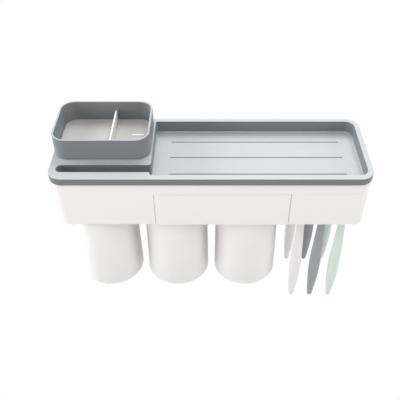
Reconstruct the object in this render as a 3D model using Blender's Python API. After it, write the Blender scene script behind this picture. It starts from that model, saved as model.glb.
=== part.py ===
"""Wall-hung bathroom organiser: a housing with a drawer, a brush bay and three magnet-held cups,
under a recessed tray that carries a small open storage box.

Frame: metres, +Z up, +X to the right as seen from the room, the room lies towards -Y.
The wall is the plane Y = 0, and the origin is the middle of the wall plate's pads on that plane.
"""

import math

import bmesh
import bpy
from mathutils import Matrix, Vector

# Clearances and construction
FIT_GAP = 0.0003
SEAM_GAP = 0.0006
RUN_GAP = 0.0004
OVERRUN = 0.0050
WELD = 0.0004
CORNER_STEPS = 8
SMALL_CORNER_STEPS = 4
EDGE_STEPS = 2
CUP_SIDES = 48
DISC_SIDES = 28
BRUSH_SIDES = 12

# Wall plate, its hooks and pads
PAD_THICK = 0.0010
PAD_SPACE = 0.0140
PAD_HEIGHT = 0.0260
PAD_CORNER = 0.0040
PAD_COUNT = 3
PLATE_SIDE_SPACE = 0.0350
PLATE_HEIGHT = 0.0320
PLATE_THICK = 0.0025
PLATE_CORNER = 0.0060
HOOK_SPACE = 0.0065
HOOK_COUNT = 3
HOOK_WIDTH = 0.0200
HOOK_STEM = 0.0030
HOOK_LIP = 0.0080
HOOK_LIP_THICK = 0.0025
HOOK_SIDE_GAP = 0.0010
PLATE_GAP = 0.0010
LIFT_GAP = 0.0010

# Tray
TRAY_DEPTH = 0.1200
TRAY_CORNER = 0.0170
BAND_HEIGHT = 0.0089
TRAY_WALL = 0.0025
TRAY_SKIN = 0.0020
TRAY_EDGE_ROUND = 0.0008
WALL_GAP = 0.0006
RIM_FRONT = 0.0075
RIM_RIGHT = 0.0061
RIM_BACK = 0.0061
DECK_WIDTH = 0.1160
RECESS_DEPTH = 0.0157
RECESS_CORNER = 0.0110
RECESS_DECK_CORNER = 0.0025
RECESS_FLOOR_ROUND = 0.0018
GROOVE_WIDTH = 0.0018
GROOVE_DEPTH = 0.0008
GROOVE_MARGIN = 0.0197
GROOVE_SHARES = (0.197, 0.493, 0.789)
SLOT_SIDE_MARGIN = 0.0080
SLOT_SETBACK = 0.0132
SLOT_WIDTH = 0.0128
SLOT_MOUTH_ROUND = 0.0028
FILLET_ROOM_SHARE = 0.49
TRAY_RIB_THICK = 0.0015
TRAY_RIB_DROP = 0.0040
TRAY_RIB_LENGTH = 0.0200

# Storage box and its insert
BOX_HEIGHT = 0.0271
BOX_CORNER = 0.0170
BOX_WALL = 0.0023
BOX_EDGE_ROUND = 0.0006
BOX_SIDE_INSET = 0.0016
BOX_BACK_INSET = 0.0016
BOX_RECESS_SPACE = 0.0016
BOX_SLOT_SPACE = 0.0097
BOX_LEDGE_WIDTH = 0.0025
BOX_LEDGE_THICK = 0.0008
INSERT_BORDER_THICK = 0.0008
INSERT_FLOOR_THICK = 0.0016
DIVIDER_THICK = 0.0018
DIVIDER_HEIGHT = 0.0146
DIVIDER_SHARE = 0.586
DIVIDER_CORNER = 0.0025
LIFT_RIB_LENGTH = 0.0150
LIFT_RIB_WIDTH = 0.0020
LIFT_RIB_HEIGHT = 0.0012
LIFT_RIB_SHARES = (0.844, 0.545)

# Housing
HOUSING_INSET = 0.0012
UNDERSIDE_DROP = 0.0713
HOUSING_WALL = 0.0025
HOUSING_FLOOR = 0.0025
HOUSING_EDGE_ROUND = 0.0012
PARTING_SPACE = 0.0062
BOSS_PARTITION_SPACE = 0.0094
PARTITION_THICK = 0.0020
POCKET_MARGIN = 0.0010
CORNER_POST_DEPTH = 0.0186
FINGER_NOTCH_WIDTH = 0.0300
FINGER_NOTCH_DEPTH = 0.0090
FINGER_NOTCH_CORNER = 0.0040
RAIL_THICK = 0.0020
RAIL_WIDTH = 0.0024
RAIL_WEB = 0.0016
RAIL_FRONT_GAP = 0.0030
FLANGE_DROP = 0.0028

# Magnets under the floor bosses
MAGNET_RADIUS = 0.0100
MAGNET_THICK = 0.0030
BOSS_WALL = 0.0020
CAP_THICK = 0.0012
CAP_SPIGOT = 0.0005
SEAT_DEPTH = 0.0008
SEAT_GAP = 0.0008

# Cups
CUP_COUNT = 3
CUP_MOUTH_RADIUS = 0.0406
CUP_TAPER = 0.0016
CUP_SPACE = 0.0083
CUP_SIDE_SPACE = 0.0110
CUP_FRONT_SPACE = 0.0044
CUP_BAY_SPACE = 0.0063
CUP_HEIGHT = 0.1140
CUP_WALL = 0.0022
CUP_BASE_THICK = 0.0040
CUP_EDGE_ROUND = 0.0040
CUP_EDGE_STEPS = 4
DISC_RADIUS = 0.0120
DISC_THICK = 0.0012

# Middle drawer
FRONT_THICK = 0.0025
DRAWER_WALL = 0.0016
DRAWER_FLOOR = 0.0016
DRAWER_FLOOR_RISE = 0.0088
DRAWER_CORNER = 0.0040
DRAWER_BACK_GAP = 0.0025

# Brush bay and rack
BAY_WIDTH = 0.0925
BAY_WALL = 0.0020
RACK_THICK = 0.0025
RACK_LEDGE_WIDTH = 0.0020
RACK_LEDGE_THICK = 0.0014
RACK_CORNER = 0.0020
WINDOW_MARGIN = 0.0090
NOTCH_GAP = 0.0005
FRONT_ROW_SETBACK = 0.0200
REAR_ROW_SPACE = 0.0121
COLUMN_COUNT = 3
COLUMN_LEFT_SPACE = 0.01925
COLUMN_RIGHT_SPACE = 0.02225
BRUSH_TRAVEL = 0.0160

# Toothbrushes, one colour for each column
BRUSH_LENGTH = 0.1862
HEAD_LENGTH = 0.0280
HEAD_WIDTH = 0.0125
HEAD_THICK = 0.0050
SHOULDER_LENGTH = 0.0023
NECK_WIDTH = 0.0090
NECK_THICK = 0.0060
GRIP_WIDTH = 0.0148
GRIP_THICK = 0.0105
TIP_WIDTH = 0.0068
TIP_THICK = 0.0050
TIP_ROUND_SHARES = ((0.35, 0.92), (0.75, 0.66), (1.00, 0.28))
TIP_ROUND_LENGTH = 0.0040
HEAD_END_SHARES = ((0.00, 0.30), (0.30, 0.72), (1.00, 1.00))
HEAD_END_LENGTH = 0.0045
GRIP_PEAK_SHARE = 0.60
GRIP_STATIONS = 11
HEAD_SQUARENESS = 4.0
GRIP_SQUARENESS = 2.2
BRISTLE_LENGTH = 0.0105
BRISTLE_SIDE_MARGIN = 0.0010
BRISTLE_END_MARGIN = 0.0018
BRISTLE_CORNER = 0.0040

# Sizes and places worked out from the sizes above
CUP_PITCH = CUP_MOUTH_RADIUS + CUP_MOUTH_RADIUS + CUP_SPACE
CUPS_WIDTH = CUP_SIDE_SPACE + CUP_COUNT * CUP_PITCH - CUP_SPACE + CUP_BAY_SPACE
TRAY_WIDTH = CUPS_WIDTH + BAY_WIDTH
TRAY_LEFT = -TRAY_WIDTH / 2
TRAY_RIGHT = TRAY_WIDTH / 2
TRAY_BACK = -WALL_GAP
TRAY_FRONT = TRAY_BACK - TRAY_DEPTH
HOOK_LIFT = HOOK_LIP + LIFT_GAP
PLATE_RISE = HOUSING_FLOOR + POCKET_MARGIN + LIFT_GAP + HOOK_LIFT + PLATE_HEIGHT / 2
RIM_Z = UNDERSIDE_DROP - PLATE_RISE
BAND_LOW_Z = RIM_Z - BAND_HEIGHT
UNDERSIDE_Z = RIM_Z - UNDERSIDE_DROP
FLOOR_Z = UNDERSIDE_Z + HOUSING_FLOOR
RECESS_Z = RIM_Z - RECESS_DEPTH
TUB_LOW_Z = RECESS_Z - TRAY_SKIN
PARTING_Z = TUB_LOW_Z - PARTING_SPACE
RECESS_LEFT = TRAY_LEFT + DECK_WIDTH
RECESS_RIGHT = TRAY_RIGHT - RIM_RIGHT
RECESS_FRONT = TRAY_FRONT + RIM_FRONT
RECESS_BACK = TRAY_BACK - RIM_BACK
SLOT_FRONT = TRAY_FRONT + SLOT_SETBACK
SLOT_BACK = SLOT_FRONT + SLOT_WIDTH
HOUSING_LEFT = TRAY_LEFT + HOUSING_INSET
HOUSING_RIGHT = TRAY_RIGHT - HOUSING_INSET
HOUSING_FRONT = TRAY_FRONT + HOUSING_INSET
HOUSING_BACK = TRAY_BACK - HOUSING_INSET
HOUSING_CORNER = TRAY_CORNER - HOUSING_INSET
HOUSING_TOP_Z = BAND_LOW_Z - FIT_GAP
CUP_BASE_RADIUS = CUP_MOUTH_RADIUS - CUP_TAPER
CUP_FIRST_X = TRAY_LEFT + CUP_SIDE_SPACE + CUP_MOUTH_RADIUS
CUP_Y = TRAY_FRONT + CUP_FRONT_SPACE + CUP_MOUTH_RADIUS
BOSS_BORE = MAGNET_RADIUS + FIT_GAP
BOSS_RADIUS = BOSS_BORE + BOSS_WALL
SEAM_LEFT = CUP_FIRST_X + CUP_PITCH - BOSS_RADIUS - BOSS_PARTITION_SPACE
SEAM_RIGHT = TRAY_RIGHT - BAY_WIDTH
PARTITION_TOP_Z = TUB_LOW_Z - FIT_GAP
LEFT_PARTITION_RIGHT = SEAM_LEFT - SEAM_GAP / 2
LEFT_PARTITION_LEFT = LEFT_PARTITION_RIGHT - PARTITION_THICK
RIGHT_PARTITION_LEFT = SEAM_RIGHT - PARTITION_THICK / 2
RIGHT_PARTITION_RIGHT = SEAM_RIGHT + PARTITION_THICK / 2
FRONTS_BACK = HOUSING_FRONT + FRONT_THICK
FRONTS_TOP_Z = PARTING_Z - FIT_GAP
FLANGE_TOP_Z = PARTING_Z - FLANGE_DROP
FLANGE_LOW_Z = FLANGE_TOP_Z - RAIL_THICK
RAIL_TOP_Z = FLANGE_LOW_Z - FIT_GAP
RAIL_LOW_Z = RAIL_TOP_Z - RAIL_THICK
PLATE_BACK = -PAD_THICK - FIT_GAP
PLATE_FRONT = PLATE_BACK - PLATE_THICK
POCKET_FLOOR = PLATE_FRONT - PLATE_GAP
PLATE_WIDTH = TRAY_WIDTH - PLATE_SIDE_SPACE - PLATE_SIDE_SPACE
PAD_PITCH = PLATE_WIDTH / PAD_COUNT
PAD_WIDTH = PAD_PITCH - PAD_SPACE
HOOK_PITCH = SEAM_RIGHT + HOOK_SPACE + HOOK_SIDE_GAP + HOOK_WIDTH / 2
POCKET_WALL_FRONT = POCKET_FLOOR - HOUSING_WALL
LIP_BACK = POCKET_WALL_FRONT - RUN_GAP
LIP_FRONT = LIP_BACK - HOOK_LIP_THICK
DRAWER_BACK = LIP_FRONT - DRAWER_BACK_GAP
POST_FRONT = TRAY_BACK - CORNER_POST_DEPTH
BAY_BACK = POST_FRONT - FIT_GAP
BAY_RIGHT = HOUSING_RIGHT
BAY_INNER_RIGHT = BAY_RIGHT - HOUSING_WALL
BAY_WALL_LEFT = RIGHT_PARTITION_RIGHT + RAIL_WIDTH + RUN_GAP
BAY_INNER_LEFT = BAY_WALL_LEFT + BAY_WALL
BAY_INNER_BACK = BAY_BACK - BAY_WALL
BAY_CENTRE_X = (SEAM_RIGHT + TRAY_RIGHT) / 2
COLUMN_PITCH = (BAY_WIDTH - COLUMN_LEFT_SPACE - COLUMN_RIGHT_SPACE) / (COLUMN_COUNT - 1)
FRONT_ROW_Y = TRAY_FRONT + FRONT_ROW_SETBACK
REAR_ROW_Y = BAY_INNER_BACK - REAR_ROW_SPACE
RACK_LOW_Z = UNDERSIDE_Z + RACK_LEDGE_THICK + FIT_GAP
RACK_TOP_Z = RACK_LOW_Z + RACK_THICK
SEAT_Z = UNDERSIDE_Z + SEAT_DEPTH
CUP_TOP_Z = SEAT_Z - FIT_GAP
CUP_LOW_Z = CUP_TOP_Z - CUP_HEIGHT
MAGNET_LOW_Z = FLOOR_Z + FIT_GAP
MAGNET_TOP_Z = MAGNET_LOW_Z + MAGNET_THICK
BOSS_TOP_Z = MAGNET_TOP_Z + CAP_SPIGOT
CAP_LOW_Z = BOSS_TOP_Z + FIT_GAP
NOTCH_WIDTH = NECK_WIDTH + NOTCH_GAP + NOTCH_GAP
BOX_LOW_Z = RIM_Z + FIT_GAP
BOX_LEFT = TRAY_LEFT + BOX_SIDE_INSET
BOX_RIGHT = RECESS_LEFT - BOX_RECESS_SPACE
BOX_BACK = TRAY_BACK - BOX_BACK_INSET
BOX_FRONT = SLOT_BACK + BOX_SLOT_SPACE
BOX_WIDTH = BOX_RIGHT - BOX_LEFT
BOX_DEPTH = BOX_BACK - BOX_FRONT

# Colours as linear values, with roughness and metallic value
FINISHES = {
    "housing_white": ((0.82, 0.80, 0.79), 0.42, 0.0),
    "insert_white": ((0.80, 0.77, 0.75), 0.45, 0.0),
    "tray_grey": ((0.42, 0.46, 0.48), 0.48, 0.0),
    "box_grey": ((0.20, 0.22, 0.23), 0.50, 0.0),
    "cup_white": ((0.80, 0.78, 0.77), 0.38, 0.0),
    "rack_white": ((0.78, 0.77, 0.76), 0.45, 0.0),
    "plate_grey": ((0.55, 0.56, 0.57), 0.55, 0.0),
    "pad_foam": ((0.30, 0.31, 0.32), 0.85, 0.0),
    "magnet_steel": ((0.56, 0.56, 0.57), 0.30, 1.0),
    "disc_steel": ((0.60, 0.60, 0.61), 0.35, 1.0),
    "cap_white": ((0.78, 0.77, 0.76), 0.50, 0.0),
    "brush_white": ((0.80, 0.78, 0.77), 0.40, 0.0),
    "brush_grey": ((0.24, 0.26, 0.28), 0.42, 0.0),
    "brush_green": ((0.60, 0.75, 0.64), 0.42, 0.0),
    "bristle_white": ((0.85, 0.85, 0.84), 0.60, 0.0),
}


def clear_scene():
    """Remove every object that the startup scene holds."""
    for item in list(bpy.data.objects):
        bpy.data.objects.remove(item, do_unlink=True)


def finish(name):
    """Return the Principled material of one finish, making it on first use."""
    known = bpy.data.materials.get(name)
    if known:
        return known
    colour, roughness, metallic = FINISHES[name]
    made = bpy.data.materials.new(name)
    made.use_nodes = True
    shader = made.node_tree.nodes["Principled BSDF"]
    shader.inputs["Base Color"].default_value = (*colour, 1.0)
    shader.inputs["Roughness"].default_value = roughness
    shader.inputs["Metallic"].default_value = metallic
    return made


def add_object(name, shape):
    """Turn a bmesh into a linked object and free the bmesh."""
    bmesh.ops.recalc_face_normals(shape, faces=shape.faces)
    mesh = bpy.data.meshes.new(name)
    shape.to_mesh(mesh)
    shape.free()
    item = bpy.data.objects.new(name, mesh)
    bpy.context.scene.collection.objects.link(item)
    return item


def rounded_outline(low, high, radii, steps=CORNER_STEPS):
    """Return a counter-clockwise rectangle from low to high with rounded corners.

    radii runs front left, front right, back right, back left; zero keeps a corner sharp.
    """
    corners = (
        (low[0], low[1], 1, 1, 180),
        (high[0], low[1], -1, 1, 270),
        (high[0], high[1], -1, -1, 0),
        (low[0], high[1], 1, -1, 90),
    )
    points = []
    for (x, y, side_x, side_y, start), radius in zip(corners, radii):
        if radius <= 0:
            points.append((x, y))
            continue
        centre_x = x + side_x * radius
        centre_y = y + side_y * radius
        for step in range(steps + 1):
            angle = math.radians(start + 90 * step / steps)
            points.append((centre_x + radius * math.cos(angle), centre_y + radius * math.sin(angle)))
    return points


def filleted(corners, steps=CORNER_STEPS):
    """Return an outline through square corners (x, y, radius), each rounded by its own radius."""
    points = []
    for before, corner, after in zip(corners[-1:] + corners[:-1], corners, corners[1:] + corners[:1]):
        here = Vector(corner[:2])
        back = Vector(before[:2]) - here
        ahead = Vector(after[:2]) - here
        radius = min(corner[2], FILLET_ROOM_SHARE * back.length, FILLET_ROOM_SHARE * ahead.length)
        back.normalize()
        ahead.normalize()
        centre = here + (back + ahead) * radius
        for step in range(steps + 1):
            angle = math.radians(90 * step / steps)
            points.append(tuple(centre - (ahead * math.cos(angle) + back * math.sin(angle)) * radius))
    return points


def even_corners(radius):
    """Return the same radius for all four corners of an outline."""
    return (radius, radius, radius, radius)


def grown(low, high, amount):
    """Return a rectangle's two corners moved outwards by amount."""
    return (low[0] - amount, low[1] - amount), (high[0] + amount, high[1] + amount)


def level_edges(shape, z):
    """Return the edges of a bmesh that lie at one height."""
    reach = FIT_GAP / 10
    return [edge for edge in shape.edges if all(abs(vert.co.z - z) < reach for vert in edge.verts)]


def prism(name, outline, low_z, high_z, low_round=0, high_round=0):
    """Return an upright solid on an outline, with its low or high edge rounded if asked."""
    shape = bmesh.new()
    base = [shape.verts.new((x, y, low_z)) for x, y in outline]
    face = shape.faces.new(base)
    raised = bmesh.ops.extrude_face_region(shape, geom=[face])
    top = [item for item in raised["geom"] if isinstance(item, bmesh.types.BMVert)]
    bmesh.ops.translate(shape, verts=top, vec=(0, 0, high_z - low_z))
    for z, radius in ((low_z, low_round), (high_z, high_round)):
        if radius > 0:
            bmesh.ops.bevel(
                shape, geom=level_edges(shape, z), offset=radius, offset_type="OFFSET",
                segments=EDGE_STEPS, profile=0.5, affect="EDGES", clamp_overlap=True,
            )
    return add_object(name, shape)


def block(name, low, high):
    """Return a plain rectangular solid between two corners."""
    shape = bmesh.new()
    bmesh.ops.create_cube(shape, size=1)
    size = Vector(high) - Vector(low)
    middle = (Vector(high) + Vector(low)) / 2
    bmesh.ops.scale(shape, verts=shape.verts, vec=size)
    bmesh.ops.translate(shape, verts=shape.verts, vec=middle)
    return add_object(name, shape)


def bar_along_y(name, profile, low_y, high_y):
    """Return a solid with an XZ profile that runs along Y."""
    shape = bmesh.new()
    face = shape.faces.new([shape.verts.new((x, low_y, z)) for x, z in profile])
    run = bmesh.ops.extrude_face_region(shape, geom=[face])
    far = [item for item in run["geom"] if isinstance(item, bmesh.types.BMVert)]
    bmesh.ops.translate(shape, verts=far, vec=(0, high_y - low_y, 0))
    return add_object(name, shape)


def bar_along_x(name, profile, low_x, high_x):
    """Return a solid with a YZ profile that runs along X."""
    shape = bmesh.new()
    face = shape.faces.new([shape.verts.new((low_x, y, z)) for y, z in profile])
    run = bmesh.ops.extrude_face_region(shape, geom=[face])
    far = [item for item in run["geom"] if isinstance(item, bmesh.types.BMVert)]
    bmesh.ops.translate(shape, verts=far, vec=(high_x - low_x, 0, 0))
    return add_object(name, shape)


def turned(name, profile, centre, sides, closed=False):
    """Return a solid turned about an upright axis; unless closed, the profile starts and ends there."""
    shape = bmesh.new()
    verts = [shape.verts.new((radius, 0, z)) for radius, z in profile]
    following = verts[1:] + verts[:1] if closed else verts[1:]
    edges = [shape.edges.new(pair) for pair in zip(verts, following)]
    bmesh.ops.spin(
        shape, geom=verts + edges, cent=(0, 0, 0), axis=(0, 0, 1),
        angle=math.tau, steps=sides, use_merge=True, use_duplicate=False,
    )
    bmesh.ops.remove_doubles(shape, verts=shape.verts, dist=FIT_GAP / 10)
    bmesh.ops.translate(shape, verts=shape.verts, vec=(centre[0], centre[1], 0))
    return add_object(name, shape)


def disc(name, centre, radius, low_z, high_z, sides=DISC_SIDES):
    """Return a round plate."""
    return turned(name, [(0, high_z), (radius, high_z), (radius, low_z), (0, low_z)], centre, sides)


def combine(target, steps):
    """Apply a list of (operation, tool) Booleans to target and remove the tools."""
    for number, (operation, tool) in enumerate(steps):
        modifier = target.modifiers.new(f"step_{number}", "BOOLEAN")
        modifier.operation = operation
        modifier.solver = "EXACT"
        modifier.object = tool
    view = bpy.context.evaluated_depsgraph_get()
    result = bpy.data.meshes.new_from_object(target.evaluated_get(view))
    target.modifiers.clear()
    old = target.data
    target.data = result
    bpy.data.meshes.remove(old)
    for _, tool in steps:
        bpy.data.objects.remove(tool, do_unlink=True)
    result.name = target.name
    return target


def cut(tool):
    """Return a step that takes the tool away."""
    return ("DIFFERENCE", tool)


def join(tool):
    """Return a step that adds the tool."""
    return ("UNION", tool)


def dress(item, finish_name, smooth_angle=40):
    """Give a piece its finish and smooth its round faces."""
    item.data.materials.clear()
    item.data.materials.append(finish(finish_name))
    item.data.shade_smooth()
    item.data.set_sharp_from_angle(angle=math.radians(smooth_angle))
    return item


def carrier(name, place):
    """Return the empty that stands on a moving body's joint axis."""
    empty = bpy.data.objects.new(name, None)
    empty.location = place
    empty.empty_display_size = FINGER_NOTCH_WIDTH
    bpy.context.scene.collection.objects.link(empty)
    return empty


def carry(item, empty):
    """Hang a piece on its carrier, with its own origin on the carrier's point."""
    item.data.transform(Matrix.Translation(-empty.location))
    item.parent = empty
    return item


def cup_centre(index):
    """Return the middle of one cup on plan."""
    return (CUP_FIRST_X + index * CUP_PITCH, CUP_Y)


def column_x(index):
    """Return the place of one column of brushes."""
    return SEAM_RIGHT + COLUMN_LEFT_SPACE + index * COLUMN_PITCH


def spread(count, pitch):
    """Return places that are spaced by pitch about the middle."""
    return [(index - (count - 1) / 2) * pitch for index in range(count)]


def build_wall_plate():
    """The plate that stays on the wall, with up-turned hooks, on adhesive pads."""
    half = PLATE_WIDTH / 2
    plate = bar_along_y(
        "wall_plate",
        rounded_outline(
            (-half, -PLATE_HEIGHT / 2), (half, PLATE_HEIGHT / 2), even_corners(PLATE_CORNER),
            SMALL_CORNER_STEPS,
        ),
        PLATE_FRONT, PLATE_BACK,
    )
    hook_profile = [
        (PLATE_FRONT + WELD, -HOOK_STEM),
        (PLATE_FRONT + WELD, 0),
        (LIP_BACK, 0),
        (LIP_BACK, HOOK_LIP - HOOK_LIP_THICK / 2),
        (LIP_BACK - HOOK_LIP_THICK / 2, HOOK_LIP),
        (LIP_FRONT, HOOK_LIP - HOOK_LIP_THICK / 2),
        (LIP_FRONT, -HOOK_STEM / 2),
        (LIP_FRONT + HOOK_STEM / 2, -HOOK_STEM),
    ]
    hooks = [
        join(bar_along_x("hook", hook_profile, x - HOOK_WIDTH / 2, x + HOOK_WIDTH / 2))
        for x in spread(HOOK_COUNT, HOOK_PITCH)
    ]
    dress(combine(plate, hooks), "plate_grey")
    for index, x in enumerate(spread(PAD_COUNT, PAD_PITCH)):
        pad = bar_along_y(
            f"adhesive_pad_{index + 1}",
            rounded_outline(
                (x - PAD_WIDTH / 2, -PAD_HEIGHT / 2), (x + PAD_WIDTH / 2, PAD_HEIGHT / 2),
                even_corners(PAD_CORNER), SMALL_CORNER_STEPS,
            ),
            -PAD_THICK, 0,
        )
        dress(pad, "pad_foam")


def housing_shell():
    """The open-topped outer shell of the housing, before its openings are cut."""
    low = (HOUSING_LEFT, HOUSING_FRONT)
    high = (HOUSING_RIGHT, HOUSING_BACK)
    outer = prism(
        "housing", rounded_outline(low, high, even_corners(HOUSING_CORNER)),
        UNDERSIDE_Z, HOUSING_TOP_Z, low_round=HOUSING_EDGE_ROUND,
    )
    inner_low, inner_high = grown(low, high, -HOUSING_WALL)
    inner = prism(
        "inner", rounded_outline(inner_low, inner_high, even_corners(HOUSING_CORNER - HOUSING_WALL)),
        FLOOR_Z, HOUSING_TOP_Z + OVERRUN,
    )
    return outer, inner


def partition(name, low_x, high_x):
    """A wall that runs from front to back between two bays of the housing."""
    return block(
        name,
        (low_x, FRONTS_BACK - WELD, FLOOR_Z - WELD),
        (high_x, HOUSING_BACK - HOUSING_WALL + WELD, PARTITION_TOP_Z),
    )


def plate_pocket_steps():
    """The sunk part of the back wall that takes the wall plate, with windows for the hooks."""
    half_width = PLATE_WIDTH / 2 + LIFT_GAP
    low_z = -PLATE_HEIGHT / 2 - HOOK_LIFT - LIFT_GAP
    high_z = PLATE_HEIGHT / 2 + LIFT_GAP
    sunk = block(
        "sunk_wall",
        (-half_width - HOUSING_WALL, POCKET_WALL_FRONT, FLOOR_Z - WELD),
        (half_width + HOUSING_WALL, HOUSING_BACK - HOUSING_WALL + WELD, high_z + HOUSING_WALL),
    )
    pocket = block(
        "pocket", (-half_width, POCKET_FLOOR, low_z), (half_width, OVERRUN, high_z),
    )
    windows = [
        cut(block(
            "window",
            (x - HOOK_WIDTH / 2 - HOOK_SIDE_GAP, LIP_FRONT, -HOOK_LIFT - HOOK_STEM - LIFT_GAP),
            (x + HOOK_WIDTH / 2 + HOOK_SIDE_GAP, OVERRUN, FIT_GAP),
        ))
        for x in spread(HOOK_COUNT, HOOK_PITCH)
    ]
    return [join(sunk), cut(pocket)] + windows


def front_opening_steps():
    """Clear the housing where the drawer's front and the brush bay's cover stand."""
    drawer_front = block(
        "drawer_opening",
        (LEFT_PARTITION_RIGHT, HOUSING_FRONT - OVERRUN, UNDERSIDE_Z - OVERRUN),
        (RIGHT_PARTITION_RIGHT + WELD, FRONTS_BACK + FIT_GAP, PARTING_Z),
    )
    bay = block(
        "bay_opening",
        (RIGHT_PARTITION_RIGHT, HOUSING_FRONT - OVERRUN, UNDERSIDE_Z - OVERRUN),
        (HOUSING_RIGHT + OVERRUN, POST_FRONT, PARTING_Z),
    )
    return [cut(drawer_front), cut(bay)]


def plain_rail(name, wall_x, side):
    """A ledge along a partition that carries a drawer's flange; side is -1 or 1."""
    low_x = min(wall_x - side * WELD, wall_x + side * RAIL_WIDTH)
    high_x = max(wall_x - side * WELD, wall_x + side * RAIL_WIDTH)
    return block(
        name,
        (low_x, FRONTS_BACK + RAIL_FRONT_GAP, RAIL_LOW_Z),
        (high_x, POCKET_WALL_FRONT + WELD, RAIL_TOP_Z),
    )


def hanging_rail():
    """The C-shaped rail under the right-hand band, which carries the cover's inner flange."""
    wall_x = BAY_INNER_RIGHT + WELD
    foot_right = BAY_INNER_RIGHT - RUN_GAP - RUN_GAP
    web_right = foot_right - RAIL_WIDTH - RUN_GAP
    web_left = web_right - RAIL_WEB
    shelf_low = PARTING_Z + FIT_GAP
    shelf_high = shelf_low + RAIL_THICK
    profile = [
        (wall_x, shelf_low),
        (wall_x, shelf_high),
        (web_left, shelf_high),
        (web_left, RAIL_LOW_Z),
        (foot_right, RAIL_LOW_Z),
        (foot_right, RAIL_TOP_Z),
        (web_right, RAIL_TOP_Z),
        (web_right, shelf_low),
    ]
    front = HOUSING_FRONT + HOUSING_CORNER
    return bar_along_y("hanging_rail", profile, front, HOUSING_BACK - HOUSING_CORNER)


def magnet_boss_steps():
    """A ring for each magnet on the floor, and a shallow seat for each cup under it."""
    steps = []
    for index in range(CUP_COUNT):
        centre = cup_centre(index)
        section = [
            (BOSS_BORE, BOSS_TOP_Z),
            (BOSS_RADIUS, BOSS_TOP_Z),
            (BOSS_RADIUS, FLOOR_Z - WELD),
            (BOSS_BORE, FLOOR_Z - WELD),
        ]
        boss = turned("boss", section, centre, DISC_SIDES, closed=True)
        seat = disc("seat", centre, CUP_BASE_RADIUS + SEAT_GAP, UNDERSIDE_Z - OVERRUN, SEAT_Z, CUP_SIDES)
        steps += [join(boss), cut(seat)]
    return steps


def finger_notch():
    """The cut in the floor's front edge, between two cups, through which a finger draws the drawer."""
    middle = (cup_centre(1)[0] + cup_centre(2)[0]) / 2
    return prism(
        "finger_notch",
        rounded_outline(
            (middle - FINGER_NOTCH_WIDTH / 2, HOUSING_FRONT - OVERRUN),
            (middle + FINGER_NOTCH_WIDTH / 2, FRONTS_BACK + FINGER_NOTCH_DEPTH),
            (0, 0, FINGER_NOTCH_CORNER, FINGER_NOTCH_CORNER), SMALL_CORNER_STEPS,
        ),
        UNDERSIDE_Z - OVERRUN, FLOOR_Z + WELD,
    )


def build_housing(empty):
    """The white housing with its partitions, rails, magnet bosses and plate pocket."""
    outer, inner = housing_shell()
    steps = [cut(inner)]
    steps.append(join(partition("left_partition", LEFT_PARTITION_LEFT, LEFT_PARTITION_RIGHT)))
    steps.append(join(partition("right_partition", RIGHT_PARTITION_LEFT, RIGHT_PARTITION_RIGHT)))
    steps += plate_pocket_steps()
    steps += front_opening_steps()
    steps.append(join(plain_rail("drawer_rail_left", LEFT_PARTITION_RIGHT, 1)))
    steps.append(join(plain_rail("drawer_rail_right", RIGHT_PARTITION_LEFT, -1)))
    steps.append(join(plain_rail("bay_rail_left", RIGHT_PARTITION_RIGHT, 1)))
    steps.append(join(hanging_rail()))
    steps += magnet_boss_steps()
    steps.append(cut(finger_notch()))
    carry(dress(combine(outer, steps), "housing_white"), empty)


def build_magnets(empty):
    """A magnet in each boss, closed by a cap with a short spigot."""
    for index in range(CUP_COUNT):
        centre = cup_centre(index)
        magnet = disc(f"magnet_{index + 1}", centre, MAGNET_RADIUS, MAGNET_LOW_Z, MAGNET_TOP_Z)
        carry(dress(magnet, "magnet_steel"), empty)
        top = CAP_LOW_Z + CAP_THICK
        profile = [
            (0, top),
            (BOSS_RADIUS, top),
            (BOSS_RADIUS, CAP_LOW_Z),
            (BOSS_BORE - FIT_GAP, CAP_LOW_Z),
            (BOSS_BORE - FIT_GAP, MAGNET_TOP_Z + FIT_GAP),
            (0, MAGNET_TOP_Z + FIT_GAP),
        ]
        cap = turned(f"magnet_cap_{index + 1}", profile, centre, DISC_SIDES)
        carry(dress(cap, "cap_white"), empty)


def recess_outline():
    """Return the outline of the sunk shelf with the phone slot that opens into it."""
    slot_left = TRAY_LEFT + SLOT_SIDE_MARGIN
    slot_round = SLOT_WIDTH / 2
    return filleted([
        (RECESS_LEFT, RECESS_FRONT, RECESS_DECK_CORNER),
        (RECESS_RIGHT, RECESS_FRONT, RECESS_CORNER),
        (RECESS_RIGHT, RECESS_BACK, RECESS_CORNER),
        (RECESS_LEFT, RECESS_BACK, RECESS_DECK_CORNER),
        (RECESS_LEFT, SLOT_BACK, SLOT_MOUTH_ROUND),
        (slot_left, SLOT_BACK, slot_round),
        (slot_left, SLOT_FRONT, slot_round),
        (RECESS_LEFT, SLOT_FRONT, SLOT_MOUTH_ROUND),
    ])


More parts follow.
